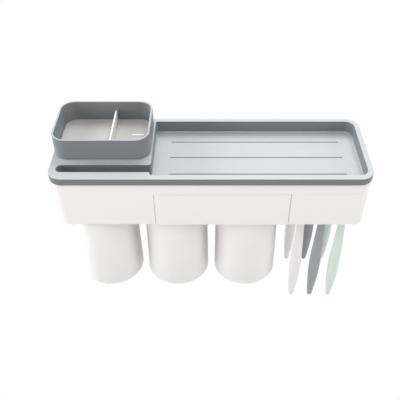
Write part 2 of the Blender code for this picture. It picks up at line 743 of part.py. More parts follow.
def build_tray(empty):
    """The grey top tray: a deck with a phone slot, and a grooved sunk shelf."""
    low = (TRAY_LEFT, TRAY_FRONT)
    high = (TRAY_RIGHT, TRAY_BACK)
    tray = prism(
        "top_tray", rounded_outline(low, high, even_corners(TRAY_CORNER)),
        BAND_LOW_Z, RIM_Z, high_round=TRAY_EDGE_ROUND,
    )
    inner_low, inner_high = grown(low, high, -TRAY_WALL)
    hollow = prism(
        "hollow", rounded_outline(inner_low, inner_high, even_corners(TRAY_CORNER - TRAY_WALL)),
        BAND_LOW_Z - OVERRUN, RIM_Z - TRAY_SKIN,
    )
    recess_radii = (RECESS_DECK_CORNER, RECESS_CORNER, RECESS_CORNER, RECESS_DECK_CORNER)
    tub_low, tub_high = grown((RECESS_LEFT, RECESS_FRONT), (RECESS_RIGHT, RECESS_BACK), TRAY_SKIN)
    tub_radii = tuple(radius + TRAY_SKIN for radius in recess_radii)
    tub = prism(
        "tub", rounded_outline(tub_low, tub_high, tub_radii), TUB_LOW_Z, RIM_Z - TRAY_SKIN + WELD,
        low_round=RECESS_FLOOR_ROUND,
    )
    channel_low = (TRAY_LEFT + SLOT_SIDE_MARGIN - TRAY_SKIN, SLOT_FRONT - TRAY_SKIN)
    channel_high = (RECESS_LEFT, SLOT_BACK + TRAY_SKIN)
    channel_round = SLOT_WIDTH / 2 + TRAY_SKIN
    channel = prism(
        "channel", rounded_outline(channel_low, channel_high, (channel_round, 0, 0, channel_round)),
        TUB_LOW_Z, RIM_Z - TRAY_SKIN + WELD,
    )
    recess = prism("recess", recess_outline(), RECESS_Z, RIM_Z + OVERRUN, low_round=RECESS_FLOOR_ROUND)
    steps = [cut(hollow), join(tub), join(channel), cut(recess)]
    span = RECESS_BACK - RECESS_FRONT
    for share in GROOVE_SHARES:
        y = RECESS_FRONT + share * span
        groove = prism(
            "groove",
            rounded_outline(
                (RECESS_LEFT + GROOVE_MARGIN, y - GROOVE_WIDTH / 2),
                (RECESS_RIGHT - GROOVE_MARGIN, y + GROOVE_WIDTH / 2),
                even_corners(GROOVE_WIDTH / 2), SMALL_CORNER_STEPS,
            ),
            RECESS_Z - GROOVE_DEPTH, RECESS_Z + OVERRUN,
        )
        steps.append(cut(groove))
    steps += tray_rib_steps()
    carry(dress(combine(tray, steps), "tray_grey"), empty)


def tray_rib_steps():
    """Short ribs under the deck that nest inside the housing's left and front walls."""
    wall_left = HOUSING_LEFT + HOUSING_WALL + RUN_GAP
    wall_front = HOUSING_FRONT + HOUSING_WALL + RUN_GAP
    low_z = HOUSING_TOP_Z - TRAY_RIB_DROP
    high_z = RIM_Z - TRAY_SKIN + WELD
    middle_y = (TRAY_FRONT + TRAY_BACK) / 2
    side = block(
        "side_rib",
        (wall_left, middle_y - TRAY_RIB_LENGTH / 2, low_z),
        (wall_left + TRAY_RIB_THICK, middle_y + TRAY_RIB_LENGTH / 2, high_z),
    )
    steps = [join(side)]
    for x in (cup_centre(0)[0], cup_centre(1)[0], BAY_CENTRE_X):
        rib = block(
            "front_rib",
            (x - TRAY_RIB_LENGTH / 2, wall_front, low_z),
            (x + TRAY_RIB_LENGTH / 2, wall_front + TRAY_RIB_THICK, high_z),
        )
        steps.append(join(rib))
    return steps


def build_box(empty):
    """The open grey box that stands on the deck, with a thin inner ledge at its foot."""
    low = (BOX_LEFT, BOX_FRONT)
    high = (BOX_RIGHT, BOX_BACK)
    box = prism(
        "storage_box", rounded_outline(low, high, even_corners(BOX_CORNER)),
        BOX_LOW_Z, BOX_LOW_Z + BOX_HEIGHT, high_round=BOX_EDGE_ROUND,
    )
    inner_low, inner_high = grown(low, high, -BOX_WALL)
    inner = prism(
        "inner", rounded_outline(inner_low, inner_high, even_corners(BOX_CORNER - BOX_WALL)),
        BOX_LOW_Z + BOX_LEDGE_THICK, BOX_LOW_Z + BOX_HEIGHT + OVERRUN,
    )
    foot_low, foot_high = grown(inner_low, inner_high, -BOX_LEDGE_WIDTH)
    foot_corner = BOX_CORNER - BOX_WALL - BOX_LEDGE_WIDTH
    foot = prism(
        "foot", rounded_outline(foot_low, foot_high, even_corners(foot_corner)),
        BOX_LOW_Z - OVERRUN, BOX_LOW_Z + BOX_LEDGE_THICK + WELD,
    )
    carry(dress(combine(box, [cut(inner), cut(foot)]), "box_grey"), empty)


def build_insert(empty):
    """The white lift-out floor of the box, with one dividing wall and a short finger rib."""
    inner_low, inner_high = grown((BOX_LEFT, BOX_FRONT), (BOX_RIGHT, BOX_BACK), -BOX_WALL)
    low, high = grown(inner_low, inner_high, -FIT_GAP)
    corner = BOX_CORNER - BOX_WALL - FIT_GAP
    border_low_z = BOX_LOW_Z + BOX_LEDGE_THICK + FIT_GAP
    top_z = border_low_z + INSERT_BORDER_THICK
    insert = prism(
        "box_insert", rounded_outline(low, high, even_corners(corner)), border_low_z, top_z,
    )
    sunk_low, sunk_high = grown(inner_low, inner_high, -BOX_LEDGE_WIDTH - FIT_GAP)
    sunk = prism(
        "sunk_floor",
        rounded_outline(sunk_low, sunk_high, even_corners(corner - BOX_LEDGE_WIDTH)),
        top_z - INSERT_FLOOR_THICK, border_low_z + WELD,
    )
    x = BOX_LEFT + DIVIDER_SHARE * BOX_WIDTH
    profile = rounded_outline(
        (low[1], top_z - WELD), (high[1], top_z + DIVIDER_HEIGHT),
        (0, 0, DIVIDER_CORNER, DIVIDER_CORNER), SMALL_CORNER_STEPS,
    )
    divider = bar_along_x("divider", profile, x - DIVIDER_THICK / 2, x + DIVIDER_THICK / 2)
    rib_x = BOX_LEFT + LIFT_RIB_SHARES[0] * BOX_WIDTH
    rib_y = BOX_FRONT + LIFT_RIB_SHARES[1] * BOX_DEPTH
    rib = prism(
        "lift_rib",
        rounded_outline(
            (rib_x - LIFT_RIB_LENGTH / 2, rib_y - LIFT_RIB_WIDTH / 2),
            (rib_x + LIFT_RIB_LENGTH / 2, rib_y + LIFT_RIB_WIDTH / 2),
            even_corners(LIFT_RIB_WIDTH / 2), SMALL_CORNER_STEPS,
        ),
        top_z - WELD, top_z + LIFT_RIB_HEIGHT,
    )
    carry(dress(combine(insert, [join(sunk), join(divider), join(rib)]), "insert_white"), empty)


def build_drawer(empty):
    """The middle drawer: a flush front and a tub that hangs by two flanges on the rails."""
    half_seam = SEAM_GAP / 2
    drawer = block(
        "drawer",
        (SEAM_LEFT + half_seam, HOUSING_FRONT, UNDERSIDE_Z),
        (SEAM_RIGHT - half_seam, FRONTS_BACK, FRONTS_TOP_Z),
    )
    left = LEFT_PARTITION_RIGHT + RAIL_WIDTH + RUN_GAP
    right = RIGHT_PARTITION_LEFT - RAIL_WIDTH - RUN_GAP
    low_z = UNDERSIDE_Z + DRAWER_FLOOR_RISE
    tub = prism(
        "tub",
        rounded_outline(
            (left, FRONTS_BACK - WELD), (right, DRAWER_BACK), (0, 0, DRAWER_CORNER, DRAWER_CORNER),
            SMALL_CORNER_STEPS,
        ),
        low_z, FLANGE_TOP_Z,
    )
    room = prism(
        "room",
        rounded_outline(
            (left + DRAWER_WALL, FRONTS_BACK), (right - DRAWER_WALL, DRAWER_BACK - DRAWER_WALL),
            even_corners(DRAWER_CORNER - DRAWER_WALL), SMALL_CORNER_STEPS,
        ),
        low_z + DRAWER_FLOOR, FLANGE_TOP_Z + OVERRUN,
    )
    flange_back = DRAWER_BACK - DRAWER_CORNER
    left_flange = block(
        "left_flange",
        (left - RAIL_WIDTH, FRONTS_BACK + RAIL_FRONT_GAP, FLANGE_LOW_Z),
        (left + WELD, flange_back, FLANGE_TOP_Z),
    )
    right_flange = block(
        "right_flange",
        (right - WELD, FRONTS_BACK + RAIL_FRONT_GAP, FLANGE_LOW_Z),
        (right + RAIL_WIDTH, flange_back, FLANGE_TOP_Z),
    )
    steps = [join(tub), join(left_flange), join(right_flange), cut(room)]
    carry(dress(combine(drawer, steps), "housing_white"), empty)


def build_brush_cover(empty):
    """The right-hand front, which wraps round the corner and slides out with the brush rack."""
    corner = HOUSING_CORNER
    cover = prism(
        "brush_cover",
        rounded_outline((BAY_WALL_LEFT, HOUSING_FRONT), (BAY_RIGHT, BAY_BACK), (0, corner, 0, 0)),
        UNDERSIDE_Z, FRONTS_TOP_Z,
    )
    lip = block(
        "lip",
        (SEAM_RIGHT + SEAM_GAP / 2, HOUSING_FRONT, UNDERSIDE_Z),
        (BAY_WALL_LEFT + WELD, FRONTS_BACK, FRONTS_TOP_Z),
    )
    inner_low = (BAY_INNER_LEFT, FRONTS_BACK)
    inner_high = (BAY_INNER_RIGHT, BAY_INNER_BACK)
    room = prism(
        "room",
        rounded_outline(inner_low, inner_high, (0, corner - HOUSING_WALL, 0, 0)),
        UNDERSIDE_Z + RACK_LEDGE_THICK, FRONTS_TOP_Z + OVERRUN,
    )
    way_low, way_high = grown(inner_low, inner_high, -RACK_LEDGE_WIDTH)
    way = prism(
        "way",
        rounded_outline(way_low, way_high, (0, corner - HOUSING_WALL - RACK_LEDGE_WIDTH, 0, 0)),
        UNDERSIDE_Z - OVERRUN, UNDERSIDE_Z + RACK_LEDGE_THICK + WELD,
    )
    left_flange = block(
        "left_flange",
        (BAY_WALL_LEFT - RAIL_WIDTH, FRONTS_BACK + RAIL_FRONT_GAP, FLANGE_LOW_Z),
        (BAY_WALL_LEFT + WELD, BAY_BACK, FLANGE_TOP_Z),
    )
    right_flange = block(
        "right_flange",
        (BAY_INNER_RIGHT - RUN_GAP - RAIL_WIDTH, HOUSING_FRONT + corner, FLANGE_LOW_Z),
        (BAY_INNER_RIGHT + WELD, BAY_BACK - WELD, FLANGE_TOP_Z),
    )
    rail_way = block(
        "rail_way",
        (BAY_INNER_LEFT, BAY_INNER_BACK - OVERRUN, RAIL_LOW_Z - RUN_GAP),
        (BAY_INNER_RIGHT, BAY_BACK + OVERRUN, FRONTS_TOP_Z + OVERRUN),
    )
    steps = [join(lip), cut(room), cut(way), cut(rail_way), join(left_flange), join(right_flange)]
    carry(dress(combine(cover, steps), "housing_white"), empty)


def build_brush_rack(empty):
    """The plate that carries the brushes: a middle window with notches to the front and the back."""
    low, high = grown((BAY_INNER_LEFT, FRONTS_BACK), (BAY_INNER_RIGHT, BAY_INNER_BACK), -FIT_GAP)
    corner = HOUSING_CORNER - HOUSING_WALL
    rack = prism(
        "brush_rack",
        rounded_outline(low, high, (RACK_CORNER, corner, RACK_CORNER, RACK_CORNER)),
        RACK_LOW_Z, RACK_TOP_Z,
    )
    window = prism(
        "window",
        rounded_outline(
            (column_x(0) - WINDOW_MARGIN, FRONT_ROW_Y + BRUSH_TRAVEL),
            (column_x(COLUMN_COUNT - 1) + WINDOW_MARGIN, REAR_ROW_Y - BRUSH_TRAVEL),
            even_corners(RACK_CORNER), SMALL_CORNER_STEPS,
        ),
        RACK_LOW_Z - OVERRUN, RACK_TOP_Z + OVERRUN,
    )
    steps = [cut(window)]
    reach = NOTCH_WIDTH / 2
    for index in range(COLUMN_COUNT):
        x = column_x(index)
        notch = prism(
            "notch",
            rounded_outline(
                (x - reach, FRONT_ROW_Y - reach), (x + reach, REAR_ROW_Y + reach), even_corners(reach),
                SMALL_CORNER_STEPS,
            ),
            RACK_LOW_Z - OVERRUN, RACK_TOP_Z + OVERRUN,
        )
        steps.append(cut(notch))
    carry(dress(combine(rack, steps), "rack_white"), empty)


def cup_profile():
    """Return the cup's half section, mouth down, from the disc's pocket round to the inside."""
    pocket_radius = DISC_RADIUS + FIT_GAP
    pocket_z = CUP_TOP_Z - DISC_THICK - FIT_GAP
    points = [(0, pocket_z), (pocket_radius, pocket_z), (pocket_radius, CUP_TOP_Z)]
    ring = CUP_BASE_RADIUS - CUP_EDGE_ROUND
    for step in range(CUP_EDGE_STEPS + 1):
        angle = math.radians(90 * step / CUP_EDGE_STEPS)
        points.append((
            ring + CUP_EDGE_ROUND * math.sin(angle),
            CUP_TOP_Z - CUP_EDGE_ROUND + CUP_EDGE_ROUND * math.cos(angle),
        ))
    points.append((CUP_MOUTH_RADIUS, CUP_LOW_Z + CUP_WALL / 2))
    points.append((CUP_MOUTH_RADIUS - CUP_WALL / 2, CUP_LOW_Z))
    points.append((CUP_MOUTH_RADIUS - CUP_WALL, CUP_LOW_Z + CUP_WALL / 2))
    inside_z = CUP_TOP_Z - CUP_BASE_THICK
    points.append((CUP_BASE_RADIUS - CUP_WALL, inside_z - CUP_EDGE_ROUND))
    points.append((CUP_BASE_RADIUS - CUP_WALL - CUP_EDGE_ROUND / 3, inside_z - CUP_EDGE_ROUND / 3))
    points.append((ring - CUP_WALL, inside_z))
    points.append((0, inside_z))
    return points


def build_cup(index, empty):
    """One cup, mouth down, with the steel disc in its base that the magnet holds."""
    centre = cup_centre(index)
    cup = turned(f"cup_{index + 1}", cup_profile(), centre, CUP_SIDES)
    carry(dress(cup, "cup_white"), empty)
    plate = disc(f"cup_disc_{index + 1}", centre, DISC_RADIUS, CUP_TOP_Z - DISC_THICK, CUP_TOP_Z)
    carry(dress(plate, "disc_steel"), empty)


def eased(share):
    """Return a smooth rise from 0 to 1."""
    return 0.5 - 0.5 * math.cos(math.pi * share)


def brush_stations():
    """Return (drop below the head's top, width, thickness, squareness) down one brush."""
    stations = []
    for along, size in HEAD_END_SHARES:
        stations.append((along * HEAD_END_LENGTH, size * HEAD_WIDTH, HEAD_THICK, HEAD_SQUARENESS))
    shoulder = HEAD_LENGTH - SHOULDER_LENGTH
    stations.append((shoulder, HEAD_WIDTH, HEAD_THICK, HEAD_SQUARENESS))
    stations.append((HEAD_LENGTH, NECK_WIDTH, NECK_THICK, GRIP_SQUARENESS))
    neck_end = HEAD_LENGTH + RACK_THICK + RACK_LEDGE_THICK + SHOULDER_LENGTH
    stations.append((neck_end, NECK_WIDTH, NECK_THICK, GRIP_SQUARENESS))
    run = BRUSH_LENGTH - TIP_ROUND_LENGTH - neck_end
    for number in range(1, GRIP_STATIONS):
        share = number / (GRIP_STATIONS - 1)
        if share < GRIP_PEAK_SHARE:
            rise = eased(share / GRIP_PEAK_SHARE)
            width = NECK_WIDTH + (GRIP_WIDTH - NECK_WIDTH) * rise
            thick = NECK_THICK + (GRIP_THICK - NECK_THICK) * rise
        else:
            fall = 1 - math.cos(math.pi / 2 * (share - GRIP_PEAK_SHARE) / (1 - GRIP_PEAK_SHARE))
            width = GRIP_WIDTH - (GRIP_WIDTH - TIP_WIDTH) * fall
            thick = GRIP_THICK - (GRIP_THICK - TIP_THICK) * fall
        stations.append((neck_end + share * run, width, thick, GRIP_SQUARENESS))
    for along, size in TIP_ROUND_SHARES:
        drop = BRUSH_LENGTH - TIP_ROUND_LENGTH + along * TIP_ROUND_LENGTH
        stations.append((drop, size * TIP_WIDTH, size * TIP_THICK, GRIP_SQUARENESS))
    return stations


def lofted(name, centre, top_z, stations):
    """Return a closed solid through level rings, from the top ring down."""
    shape = bmesh.new()
    rings = []
    for drop, width, thick, squareness in stations:
        ring = []
        for side in range(BRUSH_SIDES):
            angle = math.tau * (side + 0.5) / BRUSH_SIDES
            cosine = math.cos(angle)
            sine = math.sin(angle)
            power = 2 / squareness
            x = math.copysign(abs(cosine) ** power, cosine) * width / 2
            y = math.copysign(abs(sine) ** power, sine) * thick / 2
            ring.append(shape.verts.new((centre[0] + x, centre[1] + y, top_z - drop)))
        rings.append(ring)
    for upper, lower in zip(rings, rings[1:]):
        for side in range(BRUSH_SIDES):
            following = (side + 1) % BRUSH_SIDES
            shape.faces.new((upper[side], upper[following], lower[following], lower[side]))
    shape.faces.new(rings[0])
    shape.faces.new(rings[-1])
    return add_object(name, shape)


def build_brush(number, column, row_y, facing, empty):
    """One toothbrush, hung by its head on the rack; facing is the side of its bristles, 1 or -1."""
    centre = (column_x(column), row_y)
    colour = ("brush_white", "brush_grey", "brush_green")[column]
    top_z = RACK_TOP_Z + FIT_GAP + HEAD_LENGTH
    handle = lofted(f"brush_handle_{number}", centre, top_z, brush_stations())
    carry(dress(handle, colour, smooth_angle=60), empty)
    half_width = HEAD_WIDTH / 2 - BRISTLE_SIDE_MARGIN
    near = centre[1] + facing * (HEAD_THICK / 2 + FIT_GAP)
    far = near + facing * BRISTLE_LENGTH
    tuft = bar_along_y(
        f"brush_bristles_{number}",
        rounded_outline(
            (centre[0] - half_width, top_z - HEAD_LENGTH + SHOULDER_LENGTH + BRISTLE_END_MARGIN),
            (centre[0] + half_width, top_z - BRISTLE_END_MARGIN),
            even_corners(BRISTLE_CORNER), SMALL_CORNER_STEPS,
        ),
        min(near, far), max(near, far),
    )
    carry(dress(tuft, "bristle_white"), empty)


def main():
    """Build every piece and hang each moving body on the empty that stands on its joint axis."""
    clear_scene()
    build_wall_plate()
    housing_axis = carrier("housing_axis", (0, HOUSING_BACK, 0))
    build_housing(housing_axis)
    build_magnets(housing_axis)
    tray_axis = carrier("tray_axis", (0, (TRAY_FRONT + TRAY_BACK) / 2, RIM_Z))
    build_tray(tray_axis)
    box_middle = ((BOX_LEFT + BOX_RIGHT) / 2, (BOX_FRONT + BOX_BACK) / 2, BOX_LOW_Z)
    build_box(carrier("box_axis", box_middle))
    build_insert(carrier("insert_axis", box_middle))
    drawer_x = (SEAM_LEFT + SEAM_RIGHT) / 2
    build_drawer(carrier("drawer_axis", (drawer_x, HOUSING_FRONT, RAIL_TOP_Z)))
    bay_axis = carrier("bay_axis", (BAY_CENTRE_X, HOUSING_FRONT, RAIL_TOP_Z))
    build_brush_cover(bay_axis)
    build_brush_rack(bay_axis)
    for index in range(CUP_COUNT):
        build_cup(index, carrier(f"cup_axis_{index + 1}", (*cup_centre(index), CUP_TOP_Z)))
    number = 0
    for row_y, facing in ((FRONT_ROW_Y, 1), (REAR_ROW_Y, -1)):
        for column in range(COLUMN_COUNT):
            number += 1
            place = (column_x(column), row_y, RACK_TOP_Z)
            build_brush(number, column, row_y, facing, carrier(f"brush_axis_{number}", place))


main()
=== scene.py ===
"""Looks of the wall-hung bathroom organiser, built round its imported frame.

Each sub-assembly of the organiser is a class that holds its sizes, models its pieces in place and
dresses them in a finish. Every piece then rides on the body that the frame gives it. Lengths are in
metres, +Z is up and the room lies towards -Y.
"""

from __future__ import annotations

import logging
import math
import random
from dataclasses import dataclass, field
from enum import Enum
from typing import Callable, Dict, Iterable, List, Optional, Sequence, Tuple, Union

import bmesh
import bpy
from mathutils import Matrix, Vector


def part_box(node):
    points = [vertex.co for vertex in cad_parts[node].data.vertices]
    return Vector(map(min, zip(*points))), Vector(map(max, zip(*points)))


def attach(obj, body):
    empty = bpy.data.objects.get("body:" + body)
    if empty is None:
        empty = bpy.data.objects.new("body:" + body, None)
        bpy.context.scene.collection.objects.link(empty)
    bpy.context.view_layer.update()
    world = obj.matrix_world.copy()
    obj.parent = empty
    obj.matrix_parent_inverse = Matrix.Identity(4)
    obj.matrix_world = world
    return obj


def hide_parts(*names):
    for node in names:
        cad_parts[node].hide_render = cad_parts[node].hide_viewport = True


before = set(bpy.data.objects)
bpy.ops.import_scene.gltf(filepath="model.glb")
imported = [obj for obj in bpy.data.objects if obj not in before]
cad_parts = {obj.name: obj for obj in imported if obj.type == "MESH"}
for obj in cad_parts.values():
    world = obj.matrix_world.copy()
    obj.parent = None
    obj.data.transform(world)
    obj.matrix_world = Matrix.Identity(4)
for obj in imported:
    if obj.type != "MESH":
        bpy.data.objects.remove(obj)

Number = Union[int, float]
Pair = Tuple[float, float]
Triple = Tuple[float, float, float]
Quad = Tuple[float, float, float, float]
Colour = Triple

LOG = logging.getLogger("organiser")
PICTURE_SIDE = 400
CUP_COUNT = 3
BRUSH_COUNT = 6


# Shader maths


class Signal:
    """One output socket of a shader tree, with arithmetic that adds Math nodes."""

    def __init__(self, bench: Bench, socket: bpy.types.NodeSocket) -> None:
        """Wrap an output socket of the tree on a bench."""
        self.bench = bench
        self.socket = socket

    def _with(self, operation: str, first: Value, second: Value) -> Signal:
        """Return the result of a Math node on two values."""
        return self.bench.node(
            "ShaderNodeMath", {"operation": operation}, {0: first, 1: second}
        )

    def __add__(self, other: Value) -> Signal:
        """Return the sum."""
        return self._with("ADD", self, other)

    __radd__ = __add__

    def __mul__(self, other: Value) -> Signal:
        """Return the product."""
        return self._with("MULTIPLY", self, other)

    __rmul__ = __mul__

    def __sub__(self, other: Value) -> Signal:
        """Return this value less the other."""
        return self._with("SUBTRACT", self, other)

    def __rsub__(self, other: Value) -> Signal:
        """Return the other value less this one."""
        return self._with("SUBTRACT", other, self)

    def at_most(self, ceiling: Value) -> Signal:
        """Return the smaller of this value and a ceiling."""
        return self._with("MINIMUM", self, ceiling)

    def swing(self, reach: Number) -> Signal:
        """Return a value of 0 to 1 as a swing of as much as the reach to either side of 0."""
        return (self - 0.5) * (2 * reach)

    def band(self, low: Number, high: Number) -> Signal:
        """Return a smooth step that is 0 below low and 1 above high."""
        return self.bench.node(
            "ShaderNodeMapRange",
            {"interpolation_type": "SMOOTHSTEP"},
            {"Value": self, "From Min": low, "From Max": high, "To Min": 0.0, "To Max": 1.0},
        )


Value = Union[Signal, Number, Triple]
Settings = Dict[str, object]
Inputs = Dict[Union[int, str], Value]


class Bench:
    """The bench on which one node tree is put together."""

    PLAIN_RAYS = ("Is Camera Ray", "Is Glossy Ray", "Is Transmission Ray")

    def __init__(self, tree: bpy.types.NodeTree) -> None:
        """Clear a material's or a world's node tree and stand ready to fill it."""
        self.tree = tree
        tree.nodes.clear()

    def place(self, kind: str, settings: Settings, inputs: Inputs) -> bpy.types.Node:
        """Add a node.

        Args:
            kind: The node's type name.
            settings: Properties that are set before the sockets.
            inputs: A value or a link for each named or numbered input socket.

        Returns:
            The new node.
        """
        made = self.tree.nodes.new(kind)
        for key, setting in settings.items():
            setattr(made, key, setting)
        for key, value in inputs.items():
            socket = made.inputs[key]
            if isinstance(value, Signal):
                self.tree.links.new(value.socket, socket)
            elif isinstance(value, tuple) and socket.type == "RGBA":
                socket.default_value = (*value, 1.0)
            else:
                socket.default_value = value
        return made

    def node(
        self,
        kind: str,
        settings: Optional[Settings] = None,
        inputs: Optional[Inputs] = None,
        output: Union[int, str] = 0,
    ) -> Signal:
        """Add a node and return its output of the given name or number."""
        made = self.place(kind, settings or {}, inputs or {})
        return Signal(self, made.outputs[output])

    def object_place(self) -> Signal:
        """Return the point's place on the object, in metres."""
        return self.node("ShaderNodeTexCoord", output="Object")

    def height(self, vector: Signal) -> Signal:
        """Return the upward part of a place or a normal."""
        return self.node("ShaderNodeSeparateXYZ", {}, {"Vector": vector}, "Z")

    def upward(self, low: Number, high: Number) -> Signal:
        """Return how far the surface faces up, between two heights of its normal."""
        normal = self.node("ShaderNodeTexCoord", output="Normal")
        return self.height(normal).band(low, high)

    def stretched(self, place: Signal, scale: Triple) -> Signal:
        """Return a place scaled by a different factor on each axis."""
        return self.node("ShaderNodeMapping", {}, {"Vector": place, "Scale": scale})

    def noise(
        self, place: Signal, scale: Number, detail: Number = 2.0, rough: Number = 0.5
    ) -> Signal:
        """Return a noise value between 0 and 1 with an average of a half."""
        inputs = {"Vector": place, "Scale": scale, "Detail": detail, "Roughness": rough}
        return self.node("ShaderNodeTexNoise", {}, inputs)

    def cells(self, place: Signal, scale: Number) -> Signal:
        """Return the distance to the nearest of many scattered points."""
        inputs = {"Vector": place, "Scale": scale}
        return self.node("ShaderNodeTexVoronoi", {"feature": "F1"}, inputs, "Distance")

    def blend(self, share: Value, first: Value, second: Value) -> Signal:
        """Return a mix of two colours, with a share of the second."""
        inputs = {0: share, 6: first, 7: second}
        return self.node("ShaderNodeMix", {"data_type": "RGBA"}, inputs, 2)

    def bump(self, height: Signal, depth: Number) -> Signal:
        """Return a normal that is tilted by a height, which counts in steps of depth."""
        return self.node("ShaderNodeBump", {}, {"Height": height, "Distance": depth}, "Normal")

    def plain_ray(self) -> Signal:
        """Tell what is seen, in gloss and through glass too, from what only lights.

        Returns:
            1 for a ray that should meet plain white, and 0 for any other.
        """
        path = self.place("ShaderNodeLightPath", {}, {})
        seen, gloss, through = (Signal(self, path.outputs[ray]) for ray in self.PLAIN_RAYS)
        return (seen + gloss + through).at_most(1.0)

    def to_surface(self, inputs: Inputs) -> None:
        """End a material with a Principled shader that has the given inputs."""
        shader = self.node("ShaderNodeBsdfPrincipled", {}, inputs)
        self.place("ShaderNodeOutputMaterial", {}, {"Surface": shader})


# Finishes


@dataclass(frozen=True)
class Finish:
    """A finish, named after the record's material slot that it fills."""

    slot: str
    colour: Colour
    roughness: float = 0.45

    def material(self) -> bpy.types.Material:
        """Make the material on first use.

        Returns:
            This finish's material.
        """
        made = bpy.data.materials.get(self.label())
        if not made:
            made = bpy.data.materials.new(self.label())
            made.use_nodes = True
            self.lay(Bench(made.node_tree))
        return made

    def label(self) -> str:
        """Return the material's name."""
        return f"{self.slot}_finish"

    def lay(self, bench: Bench) -> None:
        """Put the finish's nodes on a bench."""
        raise NotImplementedError

    def shade(self, factor: float) -> Colour:
        """Return this finish's colour, made lighter or darker."""
        return (self.colour[0] * factor, self.colour[1] * factor, self.colour[2] * factor)


@dataclass(frozen=True)
class MouldedPlastic(Finish):
    """Injection-moulded plastic with the fine, even grain of a spark-eroded mould.

    Upward faces may be painted paler or darker by a factor, as painted top light or painted shade,
    only below a ceiling height where one is given.
    """

    grain: float = 0.00045
    grain_depth: float = 0.000012
    grain_rough: float = 0.6
    pit_rate: float = 0.8
    pit_ceiling: float = 0.5
    height_shares: Pair = (0.7, 0.6)
    cloud: float = 0.045
    cloud_detail: float = 3.0
    cloud_swing: float = 0.022
    speck_swing: float = 0.012
    tone_shades: Pair = (0.90, 1.10)
    flow_rate: float = 2.2
    flow_stretch: Triple = (0.35, 1.0, 1.6)
    flow_edges: Pair = (0.38, 0.62)
    tint: Colour = (1.0, 1.0, 1.0)
    gloss_swings: Pair = (0.05, 0.06)
    index: float = 1.5
    # Painted top light and shade: a factor on the colour of upward faces, paler above 1, darker
    # below 1.
    painted_top_lighting: float = 1.0
    painted_top_slopes: Pair = (0.35, 0.95)
    painted_top_ceiling: float = math.inf
    painted_top_fade: float = 0.0006

    def lay(self, bench: Bench) -> None:
        """Lay slow drifts of colour and gloss under a fine grain.

        Args:
            bench: The bench of the material.
        """
        place = bench.object_place()
        drift = bench.noise(place, 1 / self.cloud, self.cloud_detail)
        flow = bench.noise(bench.stretched(place, self.flow_stretch), self.flow_rate / self.cloud)
        grain = bench.noise(place, 1 / self.grain, rough=self.grain_rough)
        pits = bench.cells(place, self.pit_rate / self.grain)
        tinted = tuple(base * shift for base, shift in zip(self.colour, self.tint))
        base = bench.blend(flow.band(*self.flow_edges), self.colour, tinted)
        tone = drift.swing(self.cloud_swing) + grain.swing(self.speck_swing) + 0.5
        toned = bench.blend(tone, *(self.shade(factor) for factor in self.tone_shades))
        flow_gloss, grain_gloss = self.gloss_swings
        grain_share, pit_share = self.height_shares
        height = grain * grain_share + pits.at_most(self.pit_ceiling) * pit_share
        bench.to_surface({
            "Base Color": self._with_painted_top_lighting(bench, place, bench.blend(0.5, base, toned)),
            "Roughness": flow.swing(flow_gloss) + grain.swing(grain_gloss) + self.roughness,
            "Normal": bench.bump(height, self.grain_depth),
            "IOR": self.index,
        })

    def _with_painted_top_lighting(self, bench: Bench, place: Signal, colour: Signal) -> Signal:
        """Scale the upward faces' colour: painted top light above 1, painted shade below 1.

        Args:
            bench: The bench of the material.
            place: The point's place on the object.
            colour: The colour without the painted top lighting.

        Returns:
            The colour, with the painted top lighting where a factor is set.
        """
        if self.painted_top_lighting == 1.0:
            return colour
        # Painted top lighting on the faces that look up, faded out above the ceiling.
        share = bench.upward(*self.painted_top_slopes)
        if math.isfinite(self.painted_top_ceiling):
            above = bench.height(place).band(
                self.painted_top_ceiling, self.painted_top_ceiling + self.painted_top_fade
            )
            share = share * (1 - above)
        scaled = {0: colour, "Scale": self.painted_top_lighting}
        return bench.blend(
            share, colour, bench.node("ShaderNodeVectorMath", {"operation": "SCALE"}, scaled)
        )


@dataclass(frozen=True)
class TurnedSteel(Finish):
    """Steel faced on a lathe, with fine rings about its own axis."""

    centre: Pair = (0.0, 0.0)
    ring: float = 0.00022
    ring_depth: float = 0.000006
    ring_share: float = 0.5
    drift_rate: float = 180.0
    drift_detail: float = 3.0
    shades: Pair = (0.86, 1.08)
    gloss_shares: Pair = (0.04, 0.10)
    gloss_drop: float = 0.05

    def label(self) -> str:
        """Return the material's name, one for each centre."""
        return f"{self.slot}_finish_{round(self.centre[0] * 1000)}"

    def lay(self, bench: Bench) -> None:
        """Lay rings round the piece's axis over a soft drift.

        Args:
            bench: The bench of the material.
        """
        back = (-self.centre[0], -self.centre[1], 0.0)
        centred = bench.node(
            "ShaderNodeMapping", {}, {"Vector": bench.object_place(), "Location": back}
        )
        flat = bench.node(
            "ShaderNodeVectorMath", {"operation": "MULTIPLY"}, {0: centred, 1: (1.0, 1.0, 0.0)}
        )
        away = bench.node("ShaderNodeVectorMath", {"operation": "LENGTH"}, {0: flat}, "Value")
        wave = bench.node(
            "ShaderNodeMath", {"operation": "SINE"}, {0: away * (math.tau / self.ring)}
        )
        drift = bench.noise(centred, self.drift_rate, self.drift_detail)
        ring_gloss, drift_gloss = self.gloss_shares
        gloss = wave * ring_gloss + drift * drift_gloss + (self.roughness - self.gloss_drop)
        bench.to_surface({
            "Base Color": bench.blend(drift, *(self.shade(factor) for factor in self.shades)),
            "Metallic": 1.0,
            "Roughness": gloss,
            "Normal": bench.bump(wave * self.ring_share + drift, self.ring_depth),
        })


